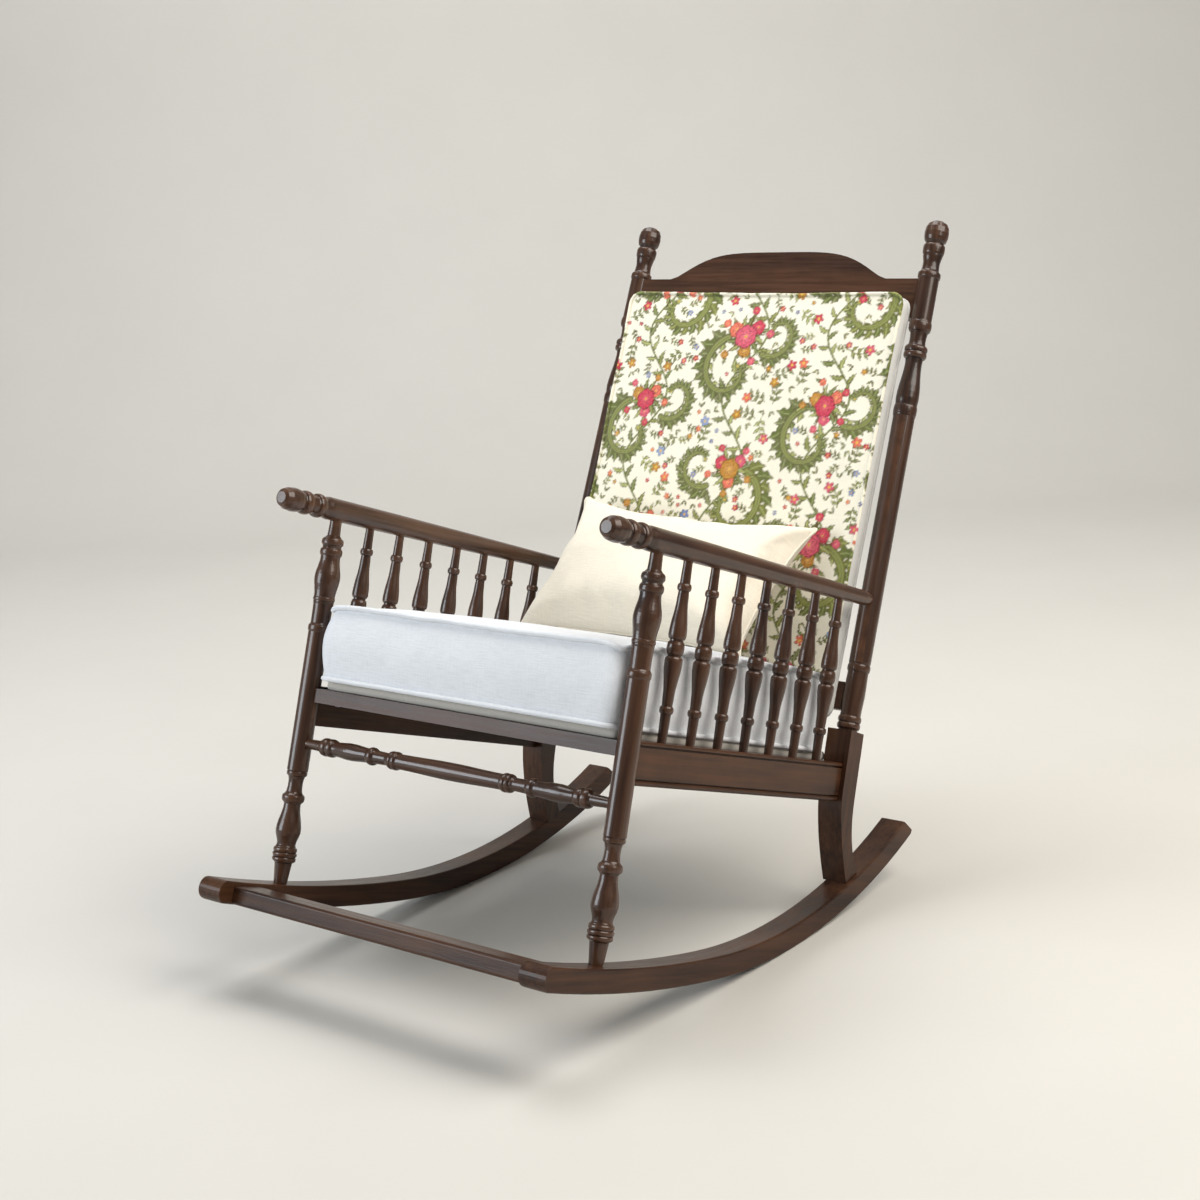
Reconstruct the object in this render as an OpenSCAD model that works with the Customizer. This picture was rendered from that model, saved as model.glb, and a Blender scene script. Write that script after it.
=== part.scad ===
// Rocking chair on two bow rockers, with turned posts, arms and spindles, and loose cushions.
// X runs across the chair with the sitter's left at +X, the front faces -Y, and Z is up, in millimetres.
// Each piece is drawn with the seat level, Y counted from the front posts and Z from their feet.
// at_rest() then leans the chair back as it comes to rest on the floor.

/* [Chair] */
// Lean of the whole chair when nobody sits in it, degrees
rest_tilt = 18.5; // [17:0.5:21]
// Distance between the axes of the front posts
post_spacing = 570; // [556:2:600]
// Front posts' axes to the front faces of the rear legs
seat_depth = 525; // [510:5:540]
// Top of the side rails above the front posts' feet
seat_height = 286; // [276:2:300]

/* [Rockers] */
// Radius of the underside at the front
rocker_front_radius = 2090; // [1950:10:2300]
// Radius of the underside at the back
rocker_rear_radius = 915; // [890:5:945]
// Where the two arcs meet, behind the front posts
rocker_join = 248; // [235:1:260]
// Slope of the underside where they meet, degrees
rocker_join_slope = 5.6; // [5.2:0.1:6]
// Width of a rocker
rocker_width = 42; // [40:1:46]
// Height of a rocker
rocker_height = 32; // [30:1:35]
// Reach of the rockers in front of the front posts
rocker_nose = 131; // [125:1:140]
// Reach of the rockers behind the front posts
rocker_tail = 748; // [730:1:765]
// Rounding of the rockers' long edges
rocker_edge = 3; // [2:0.5:4]
// How far the rockers' middles lie outside the front posts' axes
rocker_offset = 3; // [1:0.5:4]

/* [Front board] */
// Depth of the board, front to back
board_depth = 48; // [42:1:54]
// Thickness of the board
board_thick = 25; // [22:1:27]
// Set-back of the board behind the tips of the rockers
board_setback = 26; // [22:1:32]
// Top of the board below the feet of the front posts
board_drop = 1.5; // [1:0.1:2.5]
// Rounding of the board's long edges
board_edge = 4; // [2:0.5:6]

/* [Front posts] */
// Largest radius of the front posts
front_post_radius = 19; // [18:0.2:20]
// Depth of the foot in the rocker
foot_tenon = 14; // [10:1:18]

/* [Rear legs] */
// Width of a rear leg
leg_width = 40; // [37:1:42]
// Depth of a rear leg, front to back
leg_depth = 38; // [35:1:41]
// Rise of the rear legs above the side rails
leg_rise = 47; // [43:1:52]
// How far the foot of a rear leg sweeps back
leg_sweep = 45; // [40:1:50]
// Radius of the dowel that holds the leg in the rocker
leg_dowel_radius = 7; // [6:0.5:8]
// Depth of the dowel
leg_dowel = 14; // [10:1:16]

/* [Back posts] */
// Largest radius of the back posts
back_post_radius = 18.6; // [17.6:0.2:19.4]
// Length of a back post above its leg
back_post_length = 796; // [780:2:820]
// Recline of the back against the front posts, degrees
back_recline = 5.4; // [4.4:0.2:6.4]
// Inward lean of each back post, degrees
back_lean = 0.8; // [0.5:0.05:1]
// Radius of the tenon in the leg
back_tenon_radius = 9; // [8:0.5:10]
// Depth of the tenon in the leg
back_tenon = 26; // [22:1:30]

/* [Seat frame] */
// Height of the side rails
side_rail_height = 57; // [54:1:62]
// Thickness of the side rails
side_rail_thick = 22; // [20:1:24]
// Radius of the bead along the rails' upper edge
top_bead = 3; // [2.5:0.1:3.5]
// Radius of the bead along the rails' lower edge
bottom_bead = 4; // [3.4:0.1:4.6]
// Width of the quirk beside each bead
bead_quirk = 1.6; // [1.2:0.1:2]
// Drop of the front rail, rear rail and cleats below the side rails' tops
deck_drop = 3; // [2:0.5:5]
// Height of the front rail
front_rail_height = 20; // [18:1:24]
// Depth of the front rail, front to back
front_rail_depth = 20; // [18:1:24]
// Reach of the front rail in front of the front posts' axes
front_rail_reach = 4; // [3:0.5:6]
// Height of the rear rail
rear_rail_height = 44; // [40:1:50]
// Depth of the rear rail, front to back
rear_rail_depth = 20; // [18:1:24]
// Thickness of the rails' tenons
tenon_thick = 10; // [8:1:11]
// Depth of the rails' tenons
tenon_depth = 8; // [6:0.5:9]
// Depth of the cleats that carry the deck's sides
cleat_depth = 22; // [18:1:26]
// Height of the cleats
cleat_height = 16; // [14:1:18]
// Leg of a corner block along the rails
block_leg = 50; // [46:1:56]
// Radius of the deck screws' shanks
screw_radius = 2.2; // [2:0.1:2.6]
// Radius of the deck screws' heads
screw_head_radius = 4.4; // [4:0.2:5]
// Thickness of the deck screws' heads
screw_head = 2.6; // [2:0.2:3]
// Depth of the deck screws in the deck
screw_bite = 11; // [8:1:12]

/* [Arms] */
// Height of the arms' axes above the side rails, at the front posts
arm_height = 254; // [246:1:262]
// Slope of the arms down to the back, degrees
arm_slope = 0.8; // [0.5:0.1:1.2]
// Reach of the knobs in front of the front posts
arm_reach = 113; // [105:1:120]
// Largest radius of an arm
arm_radius = 17.4; // [16.6:0.2:18.4]
// Radius of the arm's tenon in the back post
arm_tenon_radius = 6; // [5:0.2:7]
// Depth of the arm's tenon in the back post
arm_tenon = 12; // [9:1:14]

/* [Arm spindles] */
// First spindle behind the front post's axis
spindle_start = 72; // [68:1:76]
// Last spindle in front of the rear leg
spindle_end = 59; // [55:1:64]
// Largest radius of a spindle
spindle_radius = 12.2; // [11.4:0.2:13]
// Depth of the spindles in the rails
spindle_tenon = 12; // [9:1:16]

/* [Front stretcher] */
// Height of the stretcher above the front posts' feet
stretcher_height = 203; // [190:1:215]
// Largest radius of the stretcher
stretcher_radius = 13.4; // [12.6:0.2:14.4]

/* [Back] */
// Height of the crest rail at its ends
crest_height = 46; // [43:0.5:46.5]
// Rise of the crest rail's arch
crest_rise = 45; // [38:1:52]
// Half the span of the arch
crest_span = 204; // [190:1:215]
// Thickness of the crest rail and of the upper and lower back rails
crest_thick = 18; // [16:1:22]
// Height of the upper back rail
upper_rail_height = 17; // [14:1:18]
// Foot of the lower back rail above the rear legs
lower_rail_start = 30; // [29:0.5:33]
// Height of the lower back rail
lower_rail_height = 42; // [38:1:50]
// Width of a slat
slat_width = 32; // [28:1:40]
// Thickness of a slat
slat_thick = 8; // [7:0.5:10]
// Depth of the slats' ends in the rails
slat_tenon = 8; // [6:1:10]

/* [Cushions] */
// Thickness of the seat deck
deck_thick = 16; // [14:1:20]
// Rounding of the deck's front and back edges
deck_edge = 4; // [3:0.5:6]
// Space between the deck's sides and the rear legs
deck_side = 3; // [2:0.5:5]
// Space between the seat cushion's sides and the widest turn of the front posts
seat_side = 0.5; // [0.4:0.1:2]
// Reach of the seat cushion in front of the front posts' axes
cushion_front = 13; // [9:1:17]
// Thickness of the seat cushion at its front welts
cushion_thick = 104; // [98:1:110]
// Rise of the upper welt from front to back
cushion_rise = 8; // [4:1:11]
// Crown of the seat cushion's top
cushion_crown = 11; // [7:1:14]
// How far the seat cushion's sides draw in between their corners
cushion_draw = 5; // [2:0.5:8]
// Swell of the seat cushion's boxing between its welts
cushion_swell = 0.4; // [0.1:0.1:0.4]
// Rounding of the seat cushion's corners
cushion_corner = 22; // [14:1:30]
// Space between the back posts' axes and the pad's sides, at its top
pad_side = 16.5; // [15:0.5:20]
// Foot of the pad above the rear legs, along the posts
pad_foot = 12; // [6:1:20]
// Top of the pad above the foot of the crest rail
pad_lap = 14; // [8:1:22]
// Thickness of the back pad at its welts
pad_thick = 26; // [23:1:30]
// Crown of the back pad's front
pad_crown = 6; // [4:1:9]
// How far the back pad's sides draw in between their corners
pad_draw = 3; // [1:0.5:5]
// Rounding of the back pad's corners
pad_corner = 16; // [12:1:24]
// Width of the throw pillow between its corners
pillow_width = 430; // [410:2:450]
// Height of the throw pillow between its corners
pillow_height = 266; // [250:2:280]
// Thickness of the throw pillow
pillow_thick = 118; // [106:2:126]
// How far the throw pillow's sides draw in between their corners
pillow_draw = 12; // [6:1:18]
// Rounding of the throw pillow's corners
pillow_corner = 6; // [4:0.5:10]
// Lean of the throw pillow against the front posts, degrees
pillow_lean = 37; // [33:0.5:39]
// Middle of the throw pillow in front of the seat cushion's back
pillow_ahead = 80; // [76:1:94]
// Shift of the throw pillow to the sitter's right
pillow_shift = 8; // [0:1:20]

/* [Hidden] */

// Glue line between a piece and its socket, and air between a soft piece and its neighbour
glue = 0.1;
soft_gap = 0.3;
// Overrun of the cuts
over = 20;
// How far each rear leg stands inside its front post, and each back post inside the middle of its leg
leg_inset = 1;
back_inset = 1;
// How far the side rails' middles lie outside the posts' axes, and the back rails' ends inside the back posts'
rail_offset = 1;
back_rail_inset = 3;
spindle_count = 7;
slat_count = 5;
$fn = 48;

walnut = [0.20, 0.10, 0.06];
linen = [0.90, 0.91, 0.92];
cream = [0.93, 0.90, 0.82];
beige = [0.72, 0.68, 0.60];
steel = [0.60, 0.60, 0.62];

// Kinds of span between two rows of a turning
FLAT = 0;
OGEE = 1;
ROUND = 2;
HOLLOW = 3;

// Shares of the largest radius at the plain stretches that other pieces meet
foot_share = 0.50;
front_body_share = 0.80;
neck_share = 0.45;
back_base_share = 0.76;
lower_body_share = 0.88;
back_body_share = 0.89;
crest_body_share = 0.86;
spindle_end_share = 0.51;
stretcher_end_share = 0.52;

// Turnings from end to end: share of the length, share of the largest radius, kind of span that follows
front_post_shares = [
    [0, foot_share, FLAT], [0.055, 0.66, FLAT], [0.059, 0.80, ROUND], [0.065, 0.90, ROUND],
    [0.071, 0.80, ROUND], [0.078, 0.92, ROUND], [0.084, 0.80, ROUND], [0.090, 0.90, ROUND],
    [0.097, 0.77, OGEE], [0.104, 0.71, OGEE], [0.141, 0.95, OGEE], [0.212, 0.63, FLAT],
    [0.218, 0.76, ROUND], [0.228, 0.86, ROUND], [0.237, 0.77, FLAT], [0.241, 0.66, HOLLOW],
    [0.268, 0.55, HOLLOW], [0.288, 0.72, ROUND], [0.294, 0.78, ROUND], [0.299, 0.74, FLAT],
    [0.302, front_body_share, FLAT], [0.672, front_body_share, FLAT], [0.674, 0.82, ROUND],
    [0.683, 0.87, ROUND], [0.692, 0.79, FLAT], [0.696, 0.73, HOLLOW], [0.722, 0.74, HOLLOW],
    [0.752, 0.79, FLAT], [0.756, 0.78, ROUND], [0.760, 0.83, ROUND], [0.766, 0.79, OGEE],
    [0.818, 0.97, OGEE], [0.872, 0.74, FLAT], [0.877, 0.76, ROUND], [0.887, 0.85, ROUND],
    [0.896, 0.78, FLAT], [0.900, 0.70, FLAT], [0.905, 0.74, ROUND], [0.914, 0.84, ROUND],
    [0.925, 0.66, FLAT], [0.932, 0.49, FLAT], [0.960, neck_share, FLAT], [1, neck_share, FLAT]];
back_post_shares = [
    [0, back_base_share, FLAT], [0.004, 0.78, ROUND], [0.010, 0.94, ROUND], [0.0165, 0.82, ROUND],
    [0.023, 0.94, ROUND], [0.029, 0.83, FLAT], [0.033, 0.83, OGEE], [0.073, lower_body_share, OGEE],
    [0.113, 0.84, ROUND], [0.120, 0.93, ROUND], [0.127, 0.85, FLAT], [0.131, back_body_share, FLAT],
    [0.609, back_body_share, ROUND], [0.615, 0.94, ROUND], [0.623, 0.96, ROUND], [0.631, 0.89, OGEE],
    [0.646, 0.94, OGEE], [0.714, 0.69, FLAT], [0.724, 0.72, ROUND], [0.731, 0.95, ROUND],
    [0.737, 0.86, ROUND], [0.743, 0.95, ROUND], [0.749, 0.79, HOLLOW], [0.758, 0.67, HOLLOW],
    [0.777, 0.76, ROUND], [0.788, 0.94, ROUND], [0.797, 0.88, FLAT], [0.799, crest_body_share, FLAT],
    [0.8835, crest_body_share, FLAT], [0.885, 0.90, ROUND], [0.890, 0.94, ROUND], [0.896, 0.88, FLAT],
    [0.898, 0.80, HOLLOW], [0.914, 0.69, OGEE], [0.932, 0.80, ROUND], [0.940, 0.89, ROUND],
    [0.946, 0.90, ROUND], [0.952, 0.80, FLAT], [0.955, 0.72, FLAT], [0.958, 0.80, ROUND],
    [0.976, 1, ROUND], [0.997, 0.56, ROUND], [1, 0, FLAT]];
arm_shares = [
    [0, 0.46, ROUND], [0.031, 0.98, ROUND], [0.053, 0.80, FLAT], [0.056, 0.76, FLAT],
    [0.058, 0.80, ROUND], [0.069, 0.99, ROUND], [0.081, 0.78, FLAT], [0.084, 0.74, HOLLOW],
    [0.096, 0.76, FLAT], [0.098, 0.80, ROUND], [0.107, 1, ROUND], [0.115, 0.88, FLAT],
    [0.119, 0.84, OGEE], [0.140, 0.95, FLAT], [0.360, 0.90, FLAT], [0.576, 0.82, FLAT],
    [0.780, 0.73, FLAT], [0.967, 0.64, ROUND], [1, 0.37, FLAT]];
spindle_shares = [
    [0, spindle_end_share, FLAT], [0.120, 0.56, FLAT], [0.150, 0.58, ROUND], [0.171, 0.78, ROUND],
    [0.190, 0.58, OGEE], [0.235, 0.62, OGEE], [0.424, 0.98, ROUND], [0.446, 0.74, FLAT],
    [0.454, 0.74, ROUND], [0.490, 0.96, ROUND], [0.526, 0.74, FLAT], [0.534, 0.74, ROUND],
    [0.556, 0.98, OGEE], [0.745, 0.62, OGEE], [0.784, 0.58, ROUND], [0.803, 0.78, ROUND],
    [0.824, 0.57, FLAT], [0.915, spindle_end_share, FLAT], [1, spindle_end_share, FLAT]];
// The stretcher runs from its middle to the post
stretcher_shares = [
    [0, 0.92, OGEE], [0.345, 0.80, FLAT], [0.352, 0.86, ROUND], [0.366, 0.97, ROUND],
    [0.379, 0.86, ROUND], [0.392, 0.95, ROUND], [0.408, 0.74, OGEE], [0.430, 0.66, FLAT],
    [0.505, 0.70, FLAT], [0.517, 0.80, ROUND], [0.535, 0.95, ROUND], [0.553, 0.80, FLAT],
    [0.561, 0.76, OGEE], [0.690, 0.91, OGEE], [0.800, 0.76, FLAT], [0.808, 0.86, ROUND],
    [0.828, 0.98, ROUND], [0.848, 0.86, ROUND], [0.868, 0.98, ROUND], [0.890, 0.78, FLAT],
    [0.900, 0.60, FLAT], [1, stretcher_end_share, FLAT]];

// Outline of the rockers' tails, in shares of the rocker's height
tail_shares = [[-0.84, 0.36], [0, 0], [-0.10, -0.36]];
// Half the height of the nose's rounding, as a share of the rocker's height
nose_share = 0.52;
// Angle by which the arcs run on into the cuts at their ends
end_spare = 2;
// Straight part of the rear legs and the bends of their two edges
leg_waist_share = 0.74;
leg_front_bend = 1.57;
leg_rear_bend = 2.6;
back_place_share = 0.67;
// Top of the crest rail's ends along the back posts, under their upper beads
crest_top_share = 0.882;
// Bend of the crest's arch
crest_bend = 4.5;
crest_ease = 1.7;
// Where a rail stops beside a round post, as a share of the post's radius
cope_share = 0.62;
tenon_height_share = 0.7;
block_nose_share = 0.25;
screw_place_share = 0.34;
pillow_ear_share = 0.5;
pillow_bend = 2.2;
pillow_ease = 0.6;
crown_bend = 2.6;
corner_steps = 4;
side_steps = 10;
swell_steps = 4;
crown_steps = 7;

// Posts, legs and rails
post_x = post_spacing / 2;
rocker_x = post_x + rocker_offset;
leg_x = post_x - leg_inset;
leg_top = seat_height + leg_rise;
leg_inner = leg_x - leg_width / 2;
back_start = seat_depth + back_place_share * leg_depth;
back_x = leg_x - back_inset;
side_inner = post_x - side_rail_thick / 2 + rail_offset;
deck_seat = seat_height - deck_drop;
front_rail_back = front_rail_depth - front_rail_reach;
front_body = front_body_share * front_post_radius;
front_post_length = seat_height + arm_height;

// Centres of the rockers' two arcs, with the front posts' feet at the top of the rocker
front_arc_y = rocker_join - rocker_front_radius * sin(rocker_join_slope);
front_arc_z = sqrt(pow(rocker_front_radius - rocker_height, 2) - pow(front_arc_y, 2));
rear_arc_y = rocker_join - rocker_rear_radius * sin(rocker_join_slope);
rear_arc_z = front_arc_z - (rocker_front_radius - rocker_rear_radius) * cos(rocker_join_slope);
front_arc_mid = rocker_front_radius - rocker_height / 2;
rear_arc_mid = rocker_rear_radius - rocker_height / 2;
rear_arc_top = rocker_rear_radius - rocker_height;
nose_y = rocker_height / 2 - rocker_nose;
nose_angle = asin((nose_y - front_arc_y) / front_arc_mid);
tail_y = rocker_tail - rocker_height / 2;
tail_angle = asin((tail_y - rear_arc_y) / rear_arc_mid);
tail_z = rear_arc_z - rear_arc_mid * cos(tail_angle);
leg_foot_y = seat_depth + leg_depth / 2 + leg_sweep;
leg_foot_angle = asin((leg_foot_y - rear_arc_y) / rear_arc_top);
leg_foot_z = rear_arc_z - rear_arc_top * cos(leg_foot_angle);
leg_waist = seat_height - leg_waist_share * side_rail_height;

// Arms and spindles
arm_axis = seat_height + arm_height;
arm_front_z = arm_axis + arm_reach * tan(arm_slope);
arm_back_z = arm_axis - seat_depth * tan(arm_slope);
arm_end_y = back_start + (arm_back_z - leg_top) * tan(back_recline) - back_body_share * back_post_radius;
arm_length = (arm_end_y + arm_reach) / cos(arm_slope) - glue
    - arm_tenon_radius * tan(back_recline + arm_slope);
spindle_pitch = (seat_depth - spindle_start - spindle_end) / (spindle_count - 1);
stretcher_half = post_x - front_body;

// Back
back_rail_half = back_x - back_rail_inset;
crest_start = crest_top_share * back_post_length - crest_height;
upper_rail_start = crest_start - glue - upper_rail_height;
slat_start = lower_rail_start + lower_rail_height - slat_tenon;
slat_length = upper_rail_start + slat_tenon - slat_start;
pad_height = crest_start + pad_lap - pad_foot;
pad_half = back_x - (crest_start + pad_lap) * tan(back_lean) - pad_side;
pad_reach = crest_thick / 2 + soft_gap + pad_thick + pad_crown;

// Cushions
deck_half = leg_inner - deck_side;
deck_front = front_rail_reach;
deck_back = seat_depth + rear_rail_depth * 2 / 3;
cushion_bottom = deck_seat + deck_thick + soft_gap;
cushion_half = post_x - front_post_radius - seat_side;
cushion_back = back_start + pad_foot * sin(back_recline) - pad_reach - soft_gap;
cushion_half_depth = (cushion_back + cushion_front) / 2;
cushion_middle = (cushion_back - cushion_front) / 2;
pillow_place = cushion_back - pillow_ahead;

// Where the chair stands: rear arc on the floor, and the middle of its depth over the origin
rest_lift = rocker_rear_radius + rear_arc_y * sin(rest_tilt) - rear_arc_z * cos(rest_tilt);
finial_y = back_start + back_post_length * sin(back_recline);
finial_z = leg_top + back_post_length * cos(back_recline);
nose_z = front_arc_z - front_arc_mid * cos(nose_angle);
rest_back = finial_y * cos(rest_tilt) + finial_z * sin(rest_tilt);
rest_front = nose_y * cos(rest_tilt) + nose_z * sin(rest_tilt) - rocker_height / 2;
rest_shift = -(rest_back + rest_front) / 2;

// Frames and helpers
function arm_at(y) = arm_axis - y * tan(arm_slope);
function sweep_at(z, bend) = z < leg_waist
    ? leg_sweep * pow((leg_waist - z) / (leg_waist - leg_foot_z), bend)
    : 0;

module at_rest() {
    translate([0, rest_shift, rest_lift]) rotate([-rest_tilt, 0, 0]) children();
}

module on_side(side) {
    mirror([side == "right" ? 1 : 0, 0, 0]) children();
}

module both_sides() {
    on_side("left") children();
    on_side("right") children();
}

// The back's own frame: Z runs up along the posts and Y square to them
module in_back() {
    translate([0, back_start, leg_top]) rotate([-back_recline, 0, 0]) children();
}

// The left back post's own frame
module in_back_post() {
    translate([back_x, back_start, leg_top]) rotate([-back_recline, -back_lean, 0]) children();
}

// The left arm's own frame, along its axis from the knob
module in_arm() {
    translate([post_x, -arm_reach, arm_front_z]) rotate([-90 - arm_slope, 0, 0]) children();
}

// A solid whose outline lies in the chair's side view
module side_view(thick) {
    rotate([90, 0, 90]) linear_extrude(thick, center = true) children();
}

// A bar's section with rounded corners
module bar_section(across, along, edge) {
    steps = 5;
    polygon([for (k = [0:3]) for (j = [0:steps])
        let (sx = k == 0 || k == 3 ? 1 : -1, sy = k < 2 ? 1 : -1, turn = 90 * (k + j / steps))
        [sx * (across / 2 - edge) + edge * cos(turn), sy * (along / 2 - edge) + edge * sin(turn)]]);
}

// One step of a span, as shares of its length and of its change of radius
function span_step(kind, t, rising) =
    kind == FLAT ? [t, t]
    : kind == OGEE ? [t, (1 - cos(180 * t)) / 2]
    : (kind == ROUND) == rising ? [1 - cos(90 * t), sin(90 * t)]
    : [sin(90 * t), 1 - cos(90 * t)];

function span_count(kind) = kind == FLAT ? 1 : kind == OGEE ? 6 : 3;

function turned_points(rows) = [for (i = [0:len(rows) - 2])
    let (a = rows[i], b = rows[i + 1], n = span_count(a[2]))
    for (k = [0:n - 1])
        let (s = span_step(a[2], k / n, b[1] > a[1]))
        [a[1] + (b[1] - a[1]) * s[1], a[0] + (b[0] - a[0]) * s[0]]];

// A turning that stands on its axis
module turned(rows, length, radius) {
    last = rows[len(rows) - 1];
    tip = last[1] > 0 ? [[last[1] * radius, last[0] * length]] : [];
    rotate_extrude()
        polygon(concat([[0, 0]], [for (p = turned_points(rows)) [p[0] * radius, p[1] * length]],
            tip, [[0, length]]));
}

// One arc of a rocker, running back from the point where the two arcs meet
module rocker_arc(radius, angle) {
    translate([0, 0, radius]) rotate([90, 0, 90]) rotate(-90)
        rotate_extrude(angle = angle, $fn = 240)
            translate([radius, 0]) bar_section(rocker_height, rocker_width, rocker_edge);
}

// The frame in which both arcs start along Y
module at_join() {
    translate([rocker_x, rear_arc_y + rear_arc_mid * sin(rocker_join_slope),
        rear_arc_z - rear_arc_mid * cos(rocker_join_slope)])
        rotate([rocker_join_slope, 0, 0]) children();
}

// What is cut away to round the nose, and to bevel the tail
module nose_cut() {
    steps = 12;
    far = 4 * rocker_height;
    translate([rocker_x, nose_y, nose_z]) rotate([nose_angle, 0, 0]) side_view(rocker_width + over)
        polygon(concat([for (i = [0:steps]) let (turn = 90 - 180 * i / steps)
                rocker_height * [-cos(turn) / 2, nose_share * sin(turn)]],
            [[0, -far], [-far, -far], [-far, far], [0, far]]));
}

module tail_cut() {
    tip = [rocker_tail, tail_z];
    far = 4 * rocker_height;
    translate([rocker_x, 0, 0]) side_view(rocker_width + over)
        polygon(concat([for (p = tail_shares) tip + rocker_height * p],
            [tip + [-rocker_height / 4, -far], tip + [far, -far], tip + [far, far],
                tip + [-rocker_height, far]]));
}

module leg_dowel_shape(play) {
    translate([leg_x, leg_foot_y, leg_foot_z]) rotate([leg_foot_angle, 0, 0])
        translate([0, 0, -leg_dowel - play])
            cylinder(h = 2 * leg_dowel, r = leg_dowel_radius + play);
}

module board_tenon(play) {
    translate([0, board_setback - rocker_nose + board_depth / 2, -board_drop - board_thick / 2])
        cube([2 * (rocker_x - rocker_width / 2 + tenon_depth + play),
            board_depth / 2 + 2 * play, board_thick / 2 + 2 * play], center = true);
}

module rocker(side) {
    color(walnut) at_rest() on_side(side) difference() {
        at_join() {
            rocker_arc(rear_arc_mid, tail_angle + end_spare - rocker_join_slope);
            mirror([0, 1, 0]) rocker_arc(front_arc_mid, rocker_join_slope - nose_angle + end_spare);
        }
        nose_cut();
        tail_cut();
        translate([post_x, 0, -foot_tenon - glue])
            cylinder(h = 2 * foot_tenon, r = foot_share * front_post_radius + glue);
        leg_dowel_shape(glue);
        board_tenon(glue);
    }
}

module front_board() {
    color(walnut) at_rest() {
        translate([0, board_setback - rocker_nose + board_depth / 2, -board_drop - board_thick / 2])
            side_view(2 * (rocker_x - rocker_width / 2 - glue))
                bar_section(board_depth, board_thick, board_edge);
        board_tenon(0);
    }
}

// Tenons of the seat frame, which the posts and legs are cut for
module side_rail_tenons(play) {
    height = tenon_height_share * side_rail_height + 2 * play;
    middle = seat_height - side_rail_height / 2;
    front = front_body - tenon_depth - play;
    back = seat_depth + 2 * tenon_depth + play;
    translate([post_x, (front + back) / 2, middle])
        cube([tenon_thick + 2 * play, back - front, height], center = true);
}

module front_rail_tenon(play) {
    height = tenon_height_share * front_rail_height + 2 * play;
    reach = post_x - front_body + tenon_depth + play;
    translate([0, tenon_thick / 2 - front_rail_reach, deck_seat - front_rail_height / 2])
        cube([2 * reach, tenon_thick + 2 * play, height], center = true);
}

module rear_rail_tenon(play) {
    height = tenon_height_share * rear_rail_height + 2 * play;
    translate([0, seat_depth + rear_rail_depth / 2, deck_seat - rear_rail_height / 2])
        cube([2 * (leg_inner + tenon_depth + play), tenon_thick + 2 * play, height], center = true);
}

module stretcher_tenon(play) {
    translate([0, 0, stretcher_height]) rotate([0, 90, 0])
        cylinder(h = 2 * (stretcher_half + tenon_depth + play),
            r = stretcher_end_share * stretcher_radius + play, center = true);
}

// Posts and legs
module front_post(side) {
    color(walnut) at_rest() on_side(side) difference() {
        translate([post_x, 0, 0]) {
            turned(front_post_shares, front_post_length, front_post_radius);
            translate([0, 0, -foot_tenon]) cylinder(h = foot_tenon, r = foot_share * front_post_radius);
        }
        side_rail_tenons(glue);
        front_rail_tenon(glue);
        stretcher_tenon(glue);
    }
}

module front_stretcher() {
    color(walnut) at_rest() {
        both_sides() translate([0, 0, stretcher_height]) rotate([0, 90, 0])
            turned(stretcher_shares, stretcher_half, stretcher_radius);
        stretcher_tenon(0);
    }
}

module leg_outline() {
    steps = 12;
    low = leg_foot_z - leg_depth / 2;
    front = [for (i = [0:steps]) let (z = leg_waist + (low - leg_waist) * i / steps)
        [seat_depth + sweep_at(z, leg_front_bend), z]];
    rear = [for (i = [steps:-1:0]) let (z = leg_waist + (low - leg_waist) * i / steps)
        [seat_depth + leg_depth + sweep_at(z, leg_rear_bend), z]];
    polygon(concat([[seat_depth, leg_top + over]], front, rear, [[seat_depth + leg_depth, leg_top + over]]));
}

module rear_leg(side) {
    color(walnut) at_rest() on_side(side) difference() {
        union() {
            intersection() {
                translate([leg_x, 0, 0]) side_view(leg_width) leg_outline();
                translate([leg_x, rear_arc_y, rear_arc_z]) rotate([0, 90, 0])
                    cylinder(h = 2 * leg_width, r = rear_arc_top - glue, center = true, $fn = 240);
            }
            leg_dowel_shape(0);
        }
        in_back_post() {
            translate([-leg_width, -leg_width, 0]) cube([2 * leg_width, 2 * leg_width, 2 * over]);
            translate([0, 0, -back_tenon - glue]) cylinder(h = 2 * back_tenon, r = back_tenon_radius + glue);
        }
        side_rail_tenons(glue);
        rear_rail_tenon(glue);
    }
}

module back_post(side) {
    color(walnut) at_rest() on_side(side) difference() {
        in_back_post() {
            translate([0, 0, glue]) turned(back_post_shares, back_post_length, back_post_radius);
            translate([0, 0, -back_tenon]) cylinder(h = back_tenon + glue, r = back_tenon_radius);
        }
        in_arm() arm_tenon_shape(glue);
        in_back() {
            back_rail_tenon(crest_start, crest_height, glue);
            back_rail_tenon(upper_rail_start, upper_rail_height, glue);
            back_rail_tenon(lower_rail_start, lower_rail_height, glue);
        }
    }
}

// Seat frame
module side_rail_section() {
    field = side_rail_height - 2 * (top_bead + bottom_bead + bead_quirk);
    square([side_rail_thick - bottom_bead, side_rail_height]);
    translate([0, 2 * bottom_bead + bead_quirk]) square([side_rail_thick, field]);
    translate([0, side_rail_height - 2 * top_bead]) square([side_rail_thick - top_bead, 2 * top_bead]);
    translate([side_rail_thick - top_bead, side_rail_height - top_bead]) circle(top_bead);
    translate([side_rail_thick - bottom_bead, bottom_bead]) circle(bottom_bead);
}

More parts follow.
